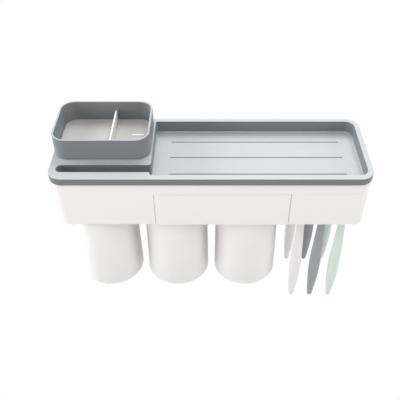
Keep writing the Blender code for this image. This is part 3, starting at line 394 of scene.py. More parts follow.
@dataclass(frozen=True)
class FoamTape(Finish):
    """Closed-cell foam tape, with its small cells open on the cut edge."""

    cell: float = 0.0006
    cell_depth: float = 0.00012
    cell_edges: Pair = (0.05, 0.45)
    # Colour factors for the cells' rims and hollows: painted shade in the hollows, with the rims a
    # little paler.
    painted_pit_shades: Pair = (1.12, 0.62)
    drift_rate: float = 60.0
    drift_detail: float = 3.0
    drift_share: float = 0.35
    drift_shade: float = 1.25
    drift_height: float = 0.3
    gloss_share: float = 0.10
    gloss_drop: float = 0.05

    def lay(self, bench: Bench) -> None:
        """Lay scattered cells over a soft drift.

        Args:
            bench: The bench of the material.
        """
        place = bench.object_place()
        cells = bench.cells(place, 1 / self.cell)
        drift = bench.noise(place, self.drift_rate, self.drift_detail)
        hollow = 1 - cells.band(*self.cell_edges)
        # Painted shade: the cells' hollows are darker and their rims paler.
        painted_pit_colour = bench.blend(hollow, *(self.shade(factor) for factor in self.painted_pit_shades))
        worn = self.shade(self.drift_shade)
        bench.to_surface({
            "Base Color": bench.blend(drift * self.drift_share, painted_pit_colour, worn),
            "Roughness": drift * self.gloss_share + (self.roughness - self.gloss_drop),
            "Normal": bench.bump(cells + drift * self.drift_height, self.cell_depth),
        })


@dataclass(frozen=True)
class NylonBristle(Finish):
    """Nylon filament whose tone varies a little from one strand to the next."""

    strand_rate: float = 2600.0
    strand_stretch: Triple = (1.0, 0.02, 1.0)
    strand_detail: float = 1.0
    strand_depth: float = 0.00001
    drift_rate: float = 120.0
    shades: Pair = (0.84, 1.06)
    gloss_shares: Pair = (0.16, 0.08)
    gloss_drop: float = 0.12

    def lay(self, bench: Bench) -> None:
        """Vary the tone from one filament to the next.

        Args:
            bench: The bench of the material.
        """
        place = bench.object_place()
        stretched = bench.stretched(place, self.strand_stretch)
        strand = bench.noise(stretched, self.strand_rate, self.strand_detail)
        drift = bench.noise(place, self.drift_rate)
        strand_gloss, drift_gloss = self.gloss_shares
        gloss = strand * strand_gloss + drift * drift_gloss + (self.roughness - self.gloss_drop)
        bench.to_surface({
            "Base Color": bench.blend(strand, *(self.shade(factor) for factor in self.shades)),
            "Roughness": gloss,
            "Normal": bench.bump(strand, self.strand_depth),
        })


class Palette:
    """The organiser's finishes."""

    WARM = (1.0, 0.992, 0.990)
    COOL = (0.99, 1.0, 1.01)
    FINE = 0.000006

    HOUSING = MouldedPlastic("housing_white", (0.872, 0.848, 0.841), 0.42, tint=WARM)
    # The insert's upward faces below the ceiling height, its floor among them, are painted darker:
    # painted shade cast by the box's walls.
    INSERT = MouldedPlastic(
        "insert_white", (0.797, 0.772, 0.766), 0.50,
        tint=(1.0, 0.985, 0.980), painted_top_lighting=0.52, painted_top_ceiling=0.0444,
    )
    # The tray's and the box's upward faces are painted paler: painted top light on one grey
    # plastic.
    TRAY = MouldedPlastic("tray_grey", (0.163, 0.179, 0.186), 0.42, tint=COOL, painted_top_lighting=2.22)
    BOX = MouldedPlastic("box_grey", (0.177, 0.194, 0.204), 0.46, tint=COOL, painted_top_lighting=1.80)
    CUP = MouldedPlastic("cup_white", (0.846, 0.830, 0.825), 0.36, tint=WARM)
    RACK = MouldedPlastic("rack_white", (0.780, 0.770, 0.760), 0.48)
    PLATE = MouldedPlastic("plate_grey", (0.520, 0.535, 0.545), 0.55, grain=0.0007)
    CAP = MouldedPlastic("cap_white", (0.780, 0.770, 0.760), 0.50)
    BRUSHES = (
        MouldedPlastic("brush_white", (0.850, 0.830, 0.825), 0.38, grain_depth=FINE),
        MouldedPlastic("brush_grey", (0.320, 0.336, 0.346), 0.40, grain_depth=FINE),
        MouldedPlastic("brush_green", (0.673, 0.806, 0.720), 0.40, grain_depth=FINE),
    )
    PAD = FoamTape("pad_foam", (0.300, 0.310, 0.320), 0.85)
    BRISTLE = NylonBristle("bristle_white", (0.860, 0.860, 0.850), 0.50)

    @staticmethod
    def magnet(centre: Pair) -> TurnedSteel:
        """Return the plated steel of a magnet that stands at a centre."""
        return TurnedSteel("magnet_steel", (0.560, 0.560, 0.570), 0.30, centre)

    @staticmethod
    def disc(centre: Pair) -> TurnedSteel:
        """Return the bare steel of a cup's disc that stands at a centre."""
        return TurnedSteel("disc_steel", (0.600, 0.600, 0.610), 0.34, centre)


# Modelling


@dataclass(frozen=True)
class Corner:
    """A corner of an outline on plan, with the radius that rounds it."""

    x: float
    y: float
    radius: float = 0.0


class Joining(Enum):
    """How a tool acts on the piece that it meets."""

    ADD = "UNION"
    CUT = "DIFFERENCE"


class Moulding:
    """A closed mesh in the making, shaped by bmesh operators."""

    NEAR = 0.00002
    RING_REACH = NEAR * 5
    MERGE_REACH = NEAR / 4
    FLAT_ANGLE = math.radians(0.4)
    SHARP_ANGLE = math.radians(32)
    NORMAL_WEIGHT = 50

    def __init__(self, shape: Optional[bmesh.types.BMesh] = None) -> None:
        """Start from an empty mesh, or from one that is given."""
        self.shape = shape or bmesh.new()

    @classmethod
    def from_plan(
        cls, corners: Sequence[Corner], low: float, high: float, steps: int = 12
    ) -> Moulding:
        """Raise an outline into an upright solid.

        Args:
            corners: The outline, each corner with its own radius.
            low: The height of the underside.
            high: The height of the top.
            steps: How many facets round each corner.

        Returns:
            The solid.
        """
        made = cls()
        ring = [made.shape.verts.new((corner.x, corner.y, low)) for corner in corners]
        raised = bmesh.ops.extrude_face_region(made.shape, geom=[made.shape.faces.new(ring)])
        top = [item for item in raised["geom"] if isinstance(item, bmesh.types.BMVert)]
        bmesh.ops.translate(made.shape, verts=top, vec=(0, 0, high - low))
        bmesh.ops.recalc_face_normals(made.shape, faces=made.shape.faces)
        for corner in corners:
            if corner.radius > 0:
                upright = made.edges_where(
                    lambda at: math.hypot(at.x - corner.x, at.y - corner.y) < cls.NEAR
                )
                made.bevel(upright, corner.radius, steps)
        return made

    @classmethod
    def slab(
        cls,
        low: Sequence[float],
        high: Sequence[float],
        radii: Union[float, Sequence[float]] = 0.0,
        steps: int = 12,
    ) -> Moulding:
        """Make an upright block with rounded corners.

        Args:
            low: Its lowest corner.
            high: Its highest corner.
            radii: One radius, or four from front left round to back left.
            steps: How many facets round each corner.

        Returns:
            The block.
        """
        four = (radii,) * 4 if isinstance(radii, (int, float)) else radii
        places = ((low[0], low[1]), (high[0], low[1]), (high[0], high[1]), (low[0], high[1]))
        corners = [Corner(*place, radius) for place, radius in zip(places, four)]
        return cls.from_plan(corners, low[2], high[2], steps)

    @classmethod
    def turned(
        cls, profile: Sequence[Pair], centre: Pair, steps: int = 96, closed: bool = False
    ) -> Moulding:
        """Turn a half section about an upright axis.

        Args:
            profile: Points of radius and height.
            centre: The axis on plan.
            steps: How many facets round the axis.
            closed: Whether the section's ends are joined, for a ring.

        Returns:
            The turned solid.
        """
        made = cls()
        points = [made.shape.verts.new((radius, 0, height)) for radius, height in profile]
        following = points[1:] + points[:1] if closed else points[1:]
        edges = [made.shape.edges.new(pair) for pair in zip(points, following)]
        bmesh.ops.spin(
            made.shape, geom=points + edges, cent=(0, 0, 0), axis=(0, 0, 1), angle=math.tau,
            steps=steps, use_merge=True, use_duplicate=False,
        )
        bmesh.ops.remove_doubles(made.shape, verts=made.shape.verts, dist=cls.NEAR)
        bmesh.ops.recalc_face_normals(made.shape, faces=made.shape.faces)
        bmesh.ops.translate(made.shape, verts=made.shape.verts, vec=(*centre, 0))
        return made

    @classmethod
    def disc(cls, radius: float, low: float, high: float, centre: Pair, steps: int) -> Moulding:
        """Return an upright disc of a radius between two heights, turned about its centre."""
        profile = [(0, high), (radius, high), (radius, low), (0, low)]
        return cls.turned(profile, centre, steps)

    def edges_where(self, test: Callable[[Vector], bool]) -> List[bmesh.types.BMEdge]:
        """Return the edges whose two ends both pass a test of their place."""
        return [edge for edge in self.shape.edges if all(test(vert.co) for vert in edge.verts)]

    def bevel(
        self, edges: Iterable[bmesh.types.BMEdge], radius: float, steps: int
    ) -> Moulding:
        """Round some edges.

        Args:
            edges: The edges.
            radius: The radius of the round.
            steps: How many facets it has.

        Returns:
            The same moulding.
        """
        chosen = list(edges)
        if chosen:
            bmesh.ops.bevel(
                self.shape, geom=chosen, offset=radius, offset_type="OFFSET", segments=steps,
                profile=0.5, affect="EDGES", clamp_overlap=False, material=-1,
            )
        return self

    def round_level(self, height: float, radius: float, steps: int = 4) -> Moulding:
        """Round every edge that lies at one height."""
        level = self.edges_where(lambda at: abs(at.z - height) < self.NEAR)
        return self.bevel(level, radius, steps)

    def round_ring(
        self, centre: Pair, ring: float, height: float, radius: float, steps: int = 2
    ) -> Moulding:
        """Round one edge of a turned solid.

        Args:
            centre: The solid's axis on plan.
            ring: The edge's own radius about the axis.
            height: The edge's height.
            radius: The radius of the round.
            steps: How many facets it has.

        Returns:
            The same moulding.
        """
        return self.bevel(
            self.edges_where(
                lambda at: abs(at.z - height) < self.RING_REACH
                and abs(math.hypot(at.x - centre[0], at.y - centre[1]) - ring) < self.RING_REACH
            ),
            radius, steps,
        )

    def turn_to_wall(self) -> Moulding:
        """Turn a solid so that its height runs along Y and its plan stands upright.

        Returns:
            The same moulding.
        """
        quarter = Matrix.Rotation(math.radians(90), 3, "X")
        bmesh.ops.rotate(self.shape, verts=self.shape.verts, cent=(0, 0, 0), matrix=quarter)
        return self

    def turn_to_side(self) -> Moulding:
        """Turn a solid so that its height runs along X and its plan becomes Y and Z.

        Returns:
            The same moulding.
        """
        turn = Matrix(((0, 0, 1), (1, 0, 0), (0, 1, 0))).to_4x4()
        bmesh.ops.transform(
            self.shape, matrix=turn, space=Matrix.Identity(4), verts=self.shape.verts
        )
        return self

    def combined(self, steps: Sequence[Step]) -> Moulding:
        """Add and cut a list of tools, in order.

        Args:
            steps: Pairs of what to do and the tool to do it with.

        Returns:
            The resulting solid. This one and the tools are used up.
        """
        target = self.as_object("work")
        tools = []
        for number, (joining, tool) in enumerate(steps):
            made = tool.as_object(f"tool_{number}")
            modifier = target.modifiers.new(f"step_{number}", "BOOLEAN")
            modifier.operation = joining.value
            modifier.solver = "EXACT"
            modifier.object = made
            tools.append(made)
        view = bpy.context.evaluated_depsgraph_get()
        result = bmesh.new()
        result.from_mesh(target.evaluated_get(view).to_mesh())
        for item in [target, *tools]:
            mesh = item.data
            bpy.data.objects.remove(item, do_unlink=True)
            bpy.data.meshes.remove(mesh)
        bmesh.ops.remove_doubles(result, verts=result.verts, dist=self.MERGE_REACH)
        bmesh.ops.dissolve_limit(
            result, angle_limit=self.FLAT_ANGLE, verts=result.verts, edges=result.edges,
            delimit={"NORMAL"},
        )
        return Moulding(result)

    def as_object(self, name: str) -> bpy.types.Object:
        """Turn the mesh into a linked object and free the bmesh.

        Args:
            name: The object's name.

        Returns:
            The object.
        """
        mesh = bpy.data.meshes.new(name)
        self.shape.to_mesh(mesh)
        self.shape.free()
        made = bpy.data.objects.new(name, mesh)
        bpy.context.scene.collection.objects.link(made)
        return made

    def as_piece(
        self, name: str, edge_round: float = 0.0, edge_steps: int = 2, smoothing: int = 0
    ) -> bpy.types.Object:
        """Turn the mesh into a smooth-shaded piece of the scene.

        Args:
            name: The piece's name.
            edge_round: The radius that softens every sharp edge.
            edge_steps: How many facets round such an edge.
            smoothing: The levels of subdivision.

        Returns:
            The piece, with its origin at the scene's origin.
        """
        made = self.as_object(name)
        made.data.shade_smooth()
        if smoothing:
            surface = made.modifiers.new("surface", "SUBSURF")
            surface.levels = smoothing
            surface.render_levels = smoothing
        if edge_round > 0:
            softened = made.modifiers.new("edges", "BEVEL")
            softened.limit_method = "ANGLE"
            softened.angle_limit = self.SHARP_ANGLE
            softened.width = edge_round
            softened.segments = edge_steps
            softened.profile = 0.5
            softened.use_clamp_overlap = True
            softened.miter_outer = "MITER_ARC"
            levelled = made.modifiers.new("normals", "WEIGHTED_NORMAL")
            levelled.mode = "FACE_AREA"
            levelled.weight = self.NORMAL_WEIGHT
            levelled.keep_sharp = True
        return made


Step = Tuple[Joining, Moulding]


def add(tool: Moulding) -> Step:
    """Return a step that adds a tool."""
    return (Joining.ADD, tool)


def cut(tool: Moulding) -> Step:
    """Return a step that takes a tool away."""
    return (Joining.CUT, tool)


def axis_of(node: str) -> Pair:
    """Find a frame node's upright axis.

    Args:
        node: The frame node.

    Returns:
        The middle of its box on plan.
    """
    low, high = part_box(node)
    middle = (low + high) / 2
    return (middle.x, middle.y)


# Sub-assemblies


@dataclass
class SubAssembly:
    """A group of pieces that the frame's nodes place."""

    weld: float = 0.0004
    overrun: float = 0.004
    fit: float = 0.0003
    broken_edge: float = 0.0003
    soft_edge: float = 0.0004

    def pieces(self) -> List[bpy.types.Object]:
        """Model, dress and hang every piece of the sub-assembly.

        Returns:
            The finished pieces.
        """
        raise NotImplementedError

    def hang(
        self, piece: bpy.types.Object, finish: Finish, body: str, *nodes: str
    ) -> bpy.types.Object:
        """Dress a piece, hang it on its body and let it stand for its frame nodes.

        Args:
            piece: The piece.
            finish: Its finish.
            body: The body that it rides on.
            nodes: The frame nodes that it replaces.

        Returns:
            The same piece.
        """
        piece.data.materials.clear()
        piece.data.materials.append(finish.material())
        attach(piece, body)
        if nodes:
            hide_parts(*nodes)
        LOG.info("%s rides on %s", piece.name, body)
        return piece

    def end_round(self, width: float) -> float:
        """Return the corner radius that rounds a bar's ends fully."""
        return width / 2 - self.weld / 4

    def soft_disc(self, node: str, edge: float, steps: int) -> Moulding:
        """Make a disc in place of a node.

        Args:
            node: The frame node.
            edge: The radius that softens its two edges.
            steps: How many facets round the axis.

        Returns:
            The disc.
        """
        low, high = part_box(node)
        centre = axis_of(node)
        radius = (high.x - low.x) / 2
        made = Moulding.disc(radius, low.z, high.z, centre, steps)
        for height in (low.z, high.z):
            made.round_ring(centre, radius, height, edge)
        return made


@dataclass
class BoxedAssembly(SubAssembly):
    """A sub-assembly that is built inside the box of its main frame node."""

    node: str = ""
    corner: float = 0.0

    def __post_init__(self) -> None:
        """Take the lowest and the highest corner of the main node from the frame."""
        self.low, self.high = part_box(self.node)

    def inside(self, wall: float, levels: Pair, steps: int = 12) -> Moulding:
        """Make a block whose sides lie evenly inside those of the box.

        Args:
            wall: How far inside the sides lie.
            levels: The heights of the underside and the top.
            steps: How many facets round each corner.

        Returns:
            The block.
        """
        low, high = self.low, self.high
        return Moulding.slab(
            (low.x + wall, low.y + wall, levels[0]), (high.x - wall, high.y - wall, levels[1]),
            self.corner - wall, steps,
        )


@dataclass
class TopTray(BoxedAssembly):
    """The grey tray: a deck with a phone slot, and a grooved sunk shelf."""

    node: str = "top_tray"
    corner: float = 0.0170
    band: float = 0.0089
    wall: float = 0.0025
    skin: float = 0.0020
    edge_round: float = 0.0006
    rim_front: float = 0.0075
    rim_right: float = 0.0061
    rim_back: float = 0.0061
    deck: float = 0.1160
    depth: float = 0.0157
    recess_corner: float = 0.0110
    deck_corner: float = 0.0025
    mouth_corner: float = 0.0028
    floor_round: float = 0.0018
    slot_side: float = 0.0080
    slot_setback: float = 0.0132
    slot_width: float = 0.0128
    groove: Pair = (0.0018, 0.0008)
    groove_margin: float = 0.0197
    groove_shares: Triple = (0.197, 0.493, 0.789)
    rib: Triple = (0.0200, 0.0015, 0.0040)
    rib_inset: float = 0.0041
    rib_shares: Triple = (0.1395, 0.3814, 0.8750)

    def pieces(self) -> List[bpy.types.Object]:
        """Model and hang the tray.

        Returns:
            The tray alone.
        """
        foot = self.high.z - self.band
        outer = Moulding.slab((self.low.x, self.low.y, foot), self.high, self.corner, steps=16)
        outer.round_level(self.high.z, self.edge_round)
        outer.round_level(foot, self.soft_edge / 2, steps=2)
        hollow = self.inside(self.wall, (foot - self.overrun, self.high.z - self.skin))
        steps = [cut(hollow), add(self._tub()), add(self._channel())]
        steps.append(cut(self._recess()))
        steps += [cut(groove) for groove in self._grooves()]
        steps += [add(rib) for rib in self._ribs()]
        piece = outer.combined(steps).as_piece("tray_shell", self.soft_edge, edge_steps=3)
        return [self.hang(piece, Palette.TRAY, "tray", "top_tray")]

    def _walls(self) -> Quad:
        """Return the left, right, front and back walls of the sunk shelf."""
        left, right = self.low.x + self.deck, self.high.x - self.rim_right
        return left, right, self.low.y + self.rim_front, self.high.y - self.rim_back

    def _tub(self) -> Moulding:
        """Make the solid under the sunk shelf.

        Returns:
            The solid.
        """
        left, right, front, back = self._walls()
        radii = (self.deck_corner, self.recess_corner, self.recess_corner, self.deck_corner)
        under = self.high.z - self.depth - self.skin
        made = Moulding.slab(
            (left - self.skin, front - self.skin, under),
            (right + self.skin, back + self.skin, self.high.z - self.skin + self.weld),
            [radius + self.skin for radius in radii],
        )
        return made.round_level(under, self.floor_round)

    def _channel(self) -> Moulding:
        """Make the solid under the phone slot.

        Returns:
            The solid.
        """
        front = self.low.y + self.slot_setback - self.skin
        back = front + self.slot_width + self.skin + self.skin
        end = self.end_round(back - front)
        return Moulding.slab(
            (self.low.x + self.slot_side - self.skin, front, self.high.z - self.depth - self.skin),
            (self.low.x + self.deck, back, self.high.z - self.skin + self.weld),
            (end, 0, 0, end),
        )

    def _recess(self) -> Moulding:
        """Make the space of the sunk shelf and of the phone slot that opens into it.

        Returns:
            The space, up to above the deck.
        """
        left, right, front, back = self._walls()
        slot_left = self.low.x + self.slot_side
        slot_front = self.low.y + self.slot_setback
        slot_back = slot_front + self.slot_width
        end = self.end_round(self.slot_width)
        outline = [
            Corner(slot_left, slot_front, end),
            Corner(left, slot_front, self.mouth_corner),
            Corner(left, front, self.deck_corner),
            Corner(right, front, self.recess_corner),
            Corner(right, back, self.recess_corner),
            Corner(left, back, self.deck_corner),
            Corner(left, slot_back, self.mouth_corner),
            Corner(slot_left, slot_back, end),
        ]
        floor = self.high.z - self.depth
        made = Moulding.from_plan(outline, floor, self.high.z + self.overrun)
        return made.round_level(floor, self.floor_round, steps=5)

    def _grooves(self) -> List[Moulding]:
        """Make the three long grooves of the sunk shelf.

        Returns:
            The grooves as tools.
        """
        left, right, front, back = self._walls()
        width, depth = self.groove
        floor = self.high.z - self.depth
        made = []
        for share in self.groove_shares:
            middle = front + share * (back - front)
            made.append(Moulding.slab(
                (left + self.groove_margin, middle - width / 2, floor - depth),
                (right - self.groove_margin, middle + width / 2, floor + self.overrun),
                self.end_round(width), steps=4,
            ))
        return made

    def _ribs(self) -> List[Moulding]:
        """Make the ribs that nest inside the housing's walls.

        Returns:
            One rib at the left and three at the front.
        """
        length, thick, drop = self.rib
        left = self.low.x + self.rib_inset
        front = self.low.y + self.rib_inset
        under = self.high.z - self.band - self.fit - drop
        top = self.high.z - self.skin + self.weld
        middle = (self.low.y + self.high.y) / 2
        made = [Moulding.slab(
            (left, middle - length / 2, under), (left + thick, middle + length / 2, top)
        )]
        for share in self.rib_shares:
            x = self.low.x + share * (self.high.x - self.low.x)
            made.append(Moulding.slab(
                (x - length / 2, front, under), (x + length / 2, front + thick, top)
            ))
        return made


@dataclass
class StorageBox(BoxedAssembly):
    """The open grey box that stands on the deck, with its white lift-out insert."""

    node: str = "storage_box"
    corner: float = 0.0170
    wall: float = 0.0023
    rim_round: float = 0.0008
    foot_round: float = 0.0016
    ledge: Pair = (0.0025, 0.0008)
    border: float = 0.0008
    floor: float = 0.0016
    divider: Pair = (0.0018, 0.0146)
    divider_share: float = 0.586
    divider_corner: float = 0.0025
    finger_rib: Triple = (0.0150, 0.0020, 0.0012)
    rib_shares: Pair = (0.844, 0.545)

    def pieces(self) -> List[bpy.types.Object]:
        """Model and hang the box and its insert.

        Returns:
            The box and the insert.
        """
        return [
            self.hang(self._box(), Palette.BOX, "box", "storage_box"),
            self.hang(self._insert(), Palette.INSERT, "insert", "box_insert"),
        ]

    def _box(self) -> bpy.types.Object:
        """Make the box: four walls with a ledge round their foot.

        Returns:
            The piece.
        """
        width, thick = self.ledge
        box = Moulding.slab(self.low, self.high, self.corner, steps=20)
        box.round_level(self.low.z, self.foot_round)
        room = (self.low.z + thick, self.high.z + self.overrun)
        way = (self.low.z - self.overrun, self.low.z + thick + self.weld)
        steps = [
            cut(self.inside(self.wall, room, steps=20)),
            cut(self.inside(self.wall + width, way, steps=16)),
        ]
        return box.combined(steps).as_piece("box_walls", self.rim_round, edge_steps=4)

    def _insert(self) -> bpy.types.Object:
        """Make the insert: a floor that rests on the ledge, with one dividing wall.

        Returns:
            The piece.
        """
        inset = self.wall + self.fit
        ledge_width, ledge_thick = self.ledge
        under = self.low.z + ledge_thick + self.fit
        top = under + self.border
        plate = self.inside(inset, (under, top), steps=20)
        levels = (top - self.floor, under + self.weld / 2)
        sunk = self.inside(inset + ledge_width, levels, steps=16)
        divider = self._divider(inset, top)
        steps = [add(sunk), add(divider), add(self._rib(top))]
        return plate.combined(steps).as_piece("box_floor", self.broken_edge)

    def _divider(self, inset: float, top: float) -> Moulding:
        """Make the wall that parts the insert.

        Args:
            inset: How far inside the box the wall ends.
            top: The height of the insert's border.

        Returns:
            The wall.
        """
        thick, tall = self.divider
        x = self.low.x + self.divider_share * (self.high.x - self.low.x)
        front, back = self.low.y + inset, self.high.y - inset
        outline = [
            Corner(front, top - self.weld),
            Corner(back, top - self.weld),
            Corner(back, top + tall, self.divider_corner),
            Corner(front, top + tall, self.divider_corner),
        ]
        return Moulding.from_plan(outline, x - thick / 2, x + thick / 2, steps=8).turn_to_side()

    def _rib(self, top: float) -> Moulding:
        """Make the finger rib.

        Args:
            top: The height of the insert's border.

        Returns:
            The rib.
        """
        length, width, height = self.finger_rib
        share_x, share_y = self.rib_shares
        x = self.low.x + share_x * (self.high.x - self.low.x)
        y = self.low.y + share_y * (self.high.y - self.low.y)
        return Moulding.slab(
            (x - length / 2, y - width / 2, top - self.weld),
            (x + length / 2, y + width / 2, top + height),
            self.end_round(width), steps=6,
        )


@dataclass
class Housing(BoxedAssembly):
    """The white housing, its magnets with their caps, and the pocket for the wall plate."""

    node: str = "housing"
    corner: float = 0.0158
    wall: float = 0.0025
    top: float = 0.0326
    standoff: float = 0.0012
    foot_round: float = 0.0014
    parting: float = 0.0179
    partition: float = 0.0020
    partition_top: float = 0.0238
    post: float = 0.0186
    seam: float = 0.0006
    seam_left: float = -0.0656
    seam_right: float = 0.0925
    pocket: Quad = (0.1510, -0.0260, 0.0170, -0.0048)
    window: Triple = (0.0110, -0.0130, -0.0102)
    window_places: Triple = (-0.1100, 0.0, 0.1100)
    rail: Triple = (0.0024, 0.0108, 0.0128)
    rail_front: float = -0.1139
    web: Triple = (0.0016, 0.0020, 0.0004)
    boss: Pair = (0.0103, 0.0020)
    boss_top: float = -0.0232
    seat: Pair = (0.0398, 0.0008)
    notch: Triple = (0.0300, 0.0090, 0.0040)
    cap_dish: Pair = (0.0006, 0.0004)

    def __post_init__(self) -> None:
        """Take the shell's box, which ends at its own top."""
        super().__post_init__()
        self.high.z = self.top

    def pieces(self) -> List[bpy.types.Object]:
        """Model and hang the housing, its magnets and their caps.

        Returns:
            The pieces.
        """
        made = [self.hang(self._shell(), Palette.HOUSING, "housing", "housing")]
        for number in range(1, CUP_COUNT + 1):
            node = f"magnet_{number}"
            puck = self.soft_disc(node, self.soft_edge, steps=64).as_piece(f"magnet_puck_{number}")
            made.append(self.hang(puck, Palette.magnet(axis_of(node)), "housing", node))
            made.append(self._cap(number))
        return made

    def _cap(self, number: int) -> bpy.types.Object:
        """Make the cap that closes a magnet's boss, with a shallow dish in its top.

        Args:
            number: The magnet's number.

        Returns:
            The piece, hung on the housing.
        """
        node = f"magnet_cap_{number}"
        low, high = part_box(node)
        centre = axis_of(node)
        radius = (high.x - low.x) / 2
        bore, wall = self.boss
        spigot = bore - self.fit
        ledge = self.boss_top + self.fit
        slope, dish = self.cap_dish
        profile = [
            (0, high.z - dish), (radius - wall, high.z - dish), (radius - wall + slope, high.z),
            (radius, high.z), (radius, ledge), (spigot, ledge), (spigot, low.z), (0, low.z),
        ]
        made = Moulding.turned(profile, centre, steps=64)
        made.round_ring(centre, radius, high.z, self.broken_edge)
        return self.hang(made.as_piece(f"magnet_lid_{number}"), Palette.CAP, "housing", node)

    def _shell(self) -> bpy.types.Object:
        """Make the housing with every wall, rail, boss and opening.

        Returns:
            The piece.
        """
        outer = Moulding.slab(self.low, self.high, self.corner, steps=16)
        outer.round_level(self.low.z, self.foot_round)
        room = (self._floor(), self.high.z + self.overrun)
        steps = [cut(self.inside(self.wall, room, steps=16))]
        steps += self._partitions()
        steps += self._pocket_steps()
        steps += self._front_openings()
        steps += self._rails()
        steps += self._bosses()
        steps.append(cut(self._finger_notch()))
        return outer.combined(steps).as_piece("housing_body", self.soft_edge)

    def _floor(self) -> float:
        """Return the height of the floor inside."""
        return self.low.z + self.wall

    def _partitions(self) -> List[Step]:
        """Add the two walls that part the housing into three rooms.

        Returns:
            The steps.
        """
        front = self.low.y + self.wall - self.weld
        back = self.high.y - self.wall + self.weld
        under = self._floor() - self.weld
        top = self.partition_top
        right_faces = (self.seam_left - self.seam / 2, self.seam_right + self.partition / 2)
        return [
            add(Moulding.slab((face - self.partition, front, under), (face, back, top)))
            for face in right_faces
        ]

    def _pocket_steps(self) -> List[Step]:
        """Sink the part of the back wall that takes the wall plate and its hooks.

        Returns:
            The steps.
        """
        half, under, top, depth = self.pocket
        steps = [
            add(Moulding.slab(
                (-half - self.wall, depth - self.wall, self._floor() - self.weld),
                (half + self.wall, self.high.y - self.wall + self.weld, top + self.wall),
            )),
            cut(Moulding.slab((-half, depth, under), (half, self.overrun, top))),
        ]
        reach, foot, front = self.window
        for x in self.window_places:
            steps.append(cut(Moulding.slab(
                (x - reach, front, foot), (x + reach, self.overrun, self.fit)
            )))
        return steps

    def _front_openings(self) -> List[Step]:
        """Open the front where the drawer's front and the bay's cover stand.

        Returns:
            The steps.
        """
        left = self.seam_left - self.seam / 2
        right = self.seam_right + self.partition / 2
        front, under = self.low.y - self.overrun, self.low.z - self.overrun
        drawer = Moulding.slab(
            (left, front, under),
            (right + self.weld, self.low.y + self.wall + self.fit, self.parting),
        )
        bay = Moulding.slab(
            (right, front, under),
            (self.high.x + self.overrun, self.high.y + self.standoff - self.post, self.parting),
        )
        return [cut(drawer), cut(bay)]

    def _rails(self) -> List[Step]:
        """Add the ledges that carry the drawer and the bay.

        Returns:
            The steps.
        """
        width, under, top = self.rail
        *_, depth = self.pocket
        back = depth - self.wall + self.weld
        left = self.seam_left - self.seam / 2
        right = self.seam_right - self.partition / 2
        spans = (
            (left - self.weld, left + width),
            (right - width, right + self.weld),
            (right + self.partition - self.weld, right + self.partition + width),
        )
        steps = [
            add(Moulding.slab((start, self.rail_front, under), (end, back, top)))
            for start, end in spans
        ]
        web, shelf, run = self.web
        inner = self.high.x - self.wall
        foot = inner - run - run
        web_right = foot - width - run
        web_left = web_right - web
        roof = self.parting + self.fit
        section = [
            (inner + self.weld, roof), (inner + self.weld, roof + shelf),
            (web_left, roof + shelf), (web_left, under), (foot, under), (foot, top),
            (web_right, top), (web_right, roof),
        ]
        outline = [Corner(x, z) for x, z in section]
        start, end = self.corner - self.high.y, -(self.low.y + self.corner)
        hanging = Moulding.from_plan(outline, start, end)
        steps.append(add(hanging.turn_to_wall()))
        return steps

    def _bosses(self) -> List[Step]:
        """Add a ring for each magnet and cut a shallow seat for each cup.

        Returns:
            The steps.
        """
        bore, wall = self.boss
        radius, depth = self.seat
        foot = self._floor() - self.weld
        under, top = self.low.z - self.overrun, self.low.z + depth
        section = [
            (bore, self.boss_top), (bore + wall, self.boss_top), (bore + wall, foot), (bore, foot)
        ]
        steps = []
        for number in range(1, CUP_COUNT + 1):
            centre = axis_of(f"magnet_{number}")
            seat = Moulding.disc(radius, under, top, centre, steps=96)
            ring = Moulding.turned(section, centre, steps=48, closed=True)
            steps += [add(ring), cut(seat)]
        return steps

    def _finger_notch(self) -> Moulding:
        """Make the notch through which a finger draws the drawer from below.

        Returns:
            The notch as a tool.
        """
        width, depth, corner = self.notch
        middle = (axis_of("magnet_2")[0] + axis_of("magnet_3")[0]) / 2
        return Moulding.slab(
            (middle - width / 2, self.low.y - self.overrun, self.low.z - self.overrun),
            (middle + width / 2, self.low.y + self.wall + depth, self._floor() + self.weld),
            (0, 0, corner, corner), steps=6,
        )


@dataclass
class Drawer(SubAssembly):
    """The middle drawer: a flush front on a tub that hangs by two flanges."""

    front: float = 0.0025
    wall: float = 0.0016
    rise: float = 0.0088
    corner: float = 0.0040
    floor_round: float = 0.0012
    flange: Triple = (0.0024, 0.0131, 0.0151)
    flange_front: float = 0.0030
    margins: Pair = (0.0022, 0.0035)

    def pieces(self) -> List[bpy.types.Object]:
        """Model and hang the drawer.

        Returns:
            The drawer alone.
        """
        low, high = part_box("drawer")
        front_back = low.y + self.front
        front = Moulding.slab(low, (high.x, front_back, high.z))
        left_margin, right_margin = self.margins
        left, right = low.x + left_margin, high.x - right_margin
        width, under, top = self.flange
        floor = low.z + self.rise
        tub = Moulding.slab(
            (left, front_back - self.weld, floor), (right, high.y, top),
            (0, 0, self.corner, self.corner), steps=6,
        )
        tub.round_level(floor, self.floor_round, steps=3)
        room = Moulding.slab(
            (left + self.wall, front_back, floor + self.wall),
            (right - self.wall, high.y - self.wall, top + self.overrun),
            self.corner - self.wall, steps=6,
        )
        steps = [add(tub)]
        for start, end in ((left - width, left + self.weld), (right - self.weld, right + width)):
            steps.append(add(Moulding.slab(
                (start, front_back + self.flange_front, under), (end, high.y - self.corner, top)
            )))
        steps.append(cut(room))
        piece = front.combined(steps).as_piece("drawer_body", self.soft_edge)
        return [self.hang(piece, Palette.HOUSING, "drawer", "drawer")]


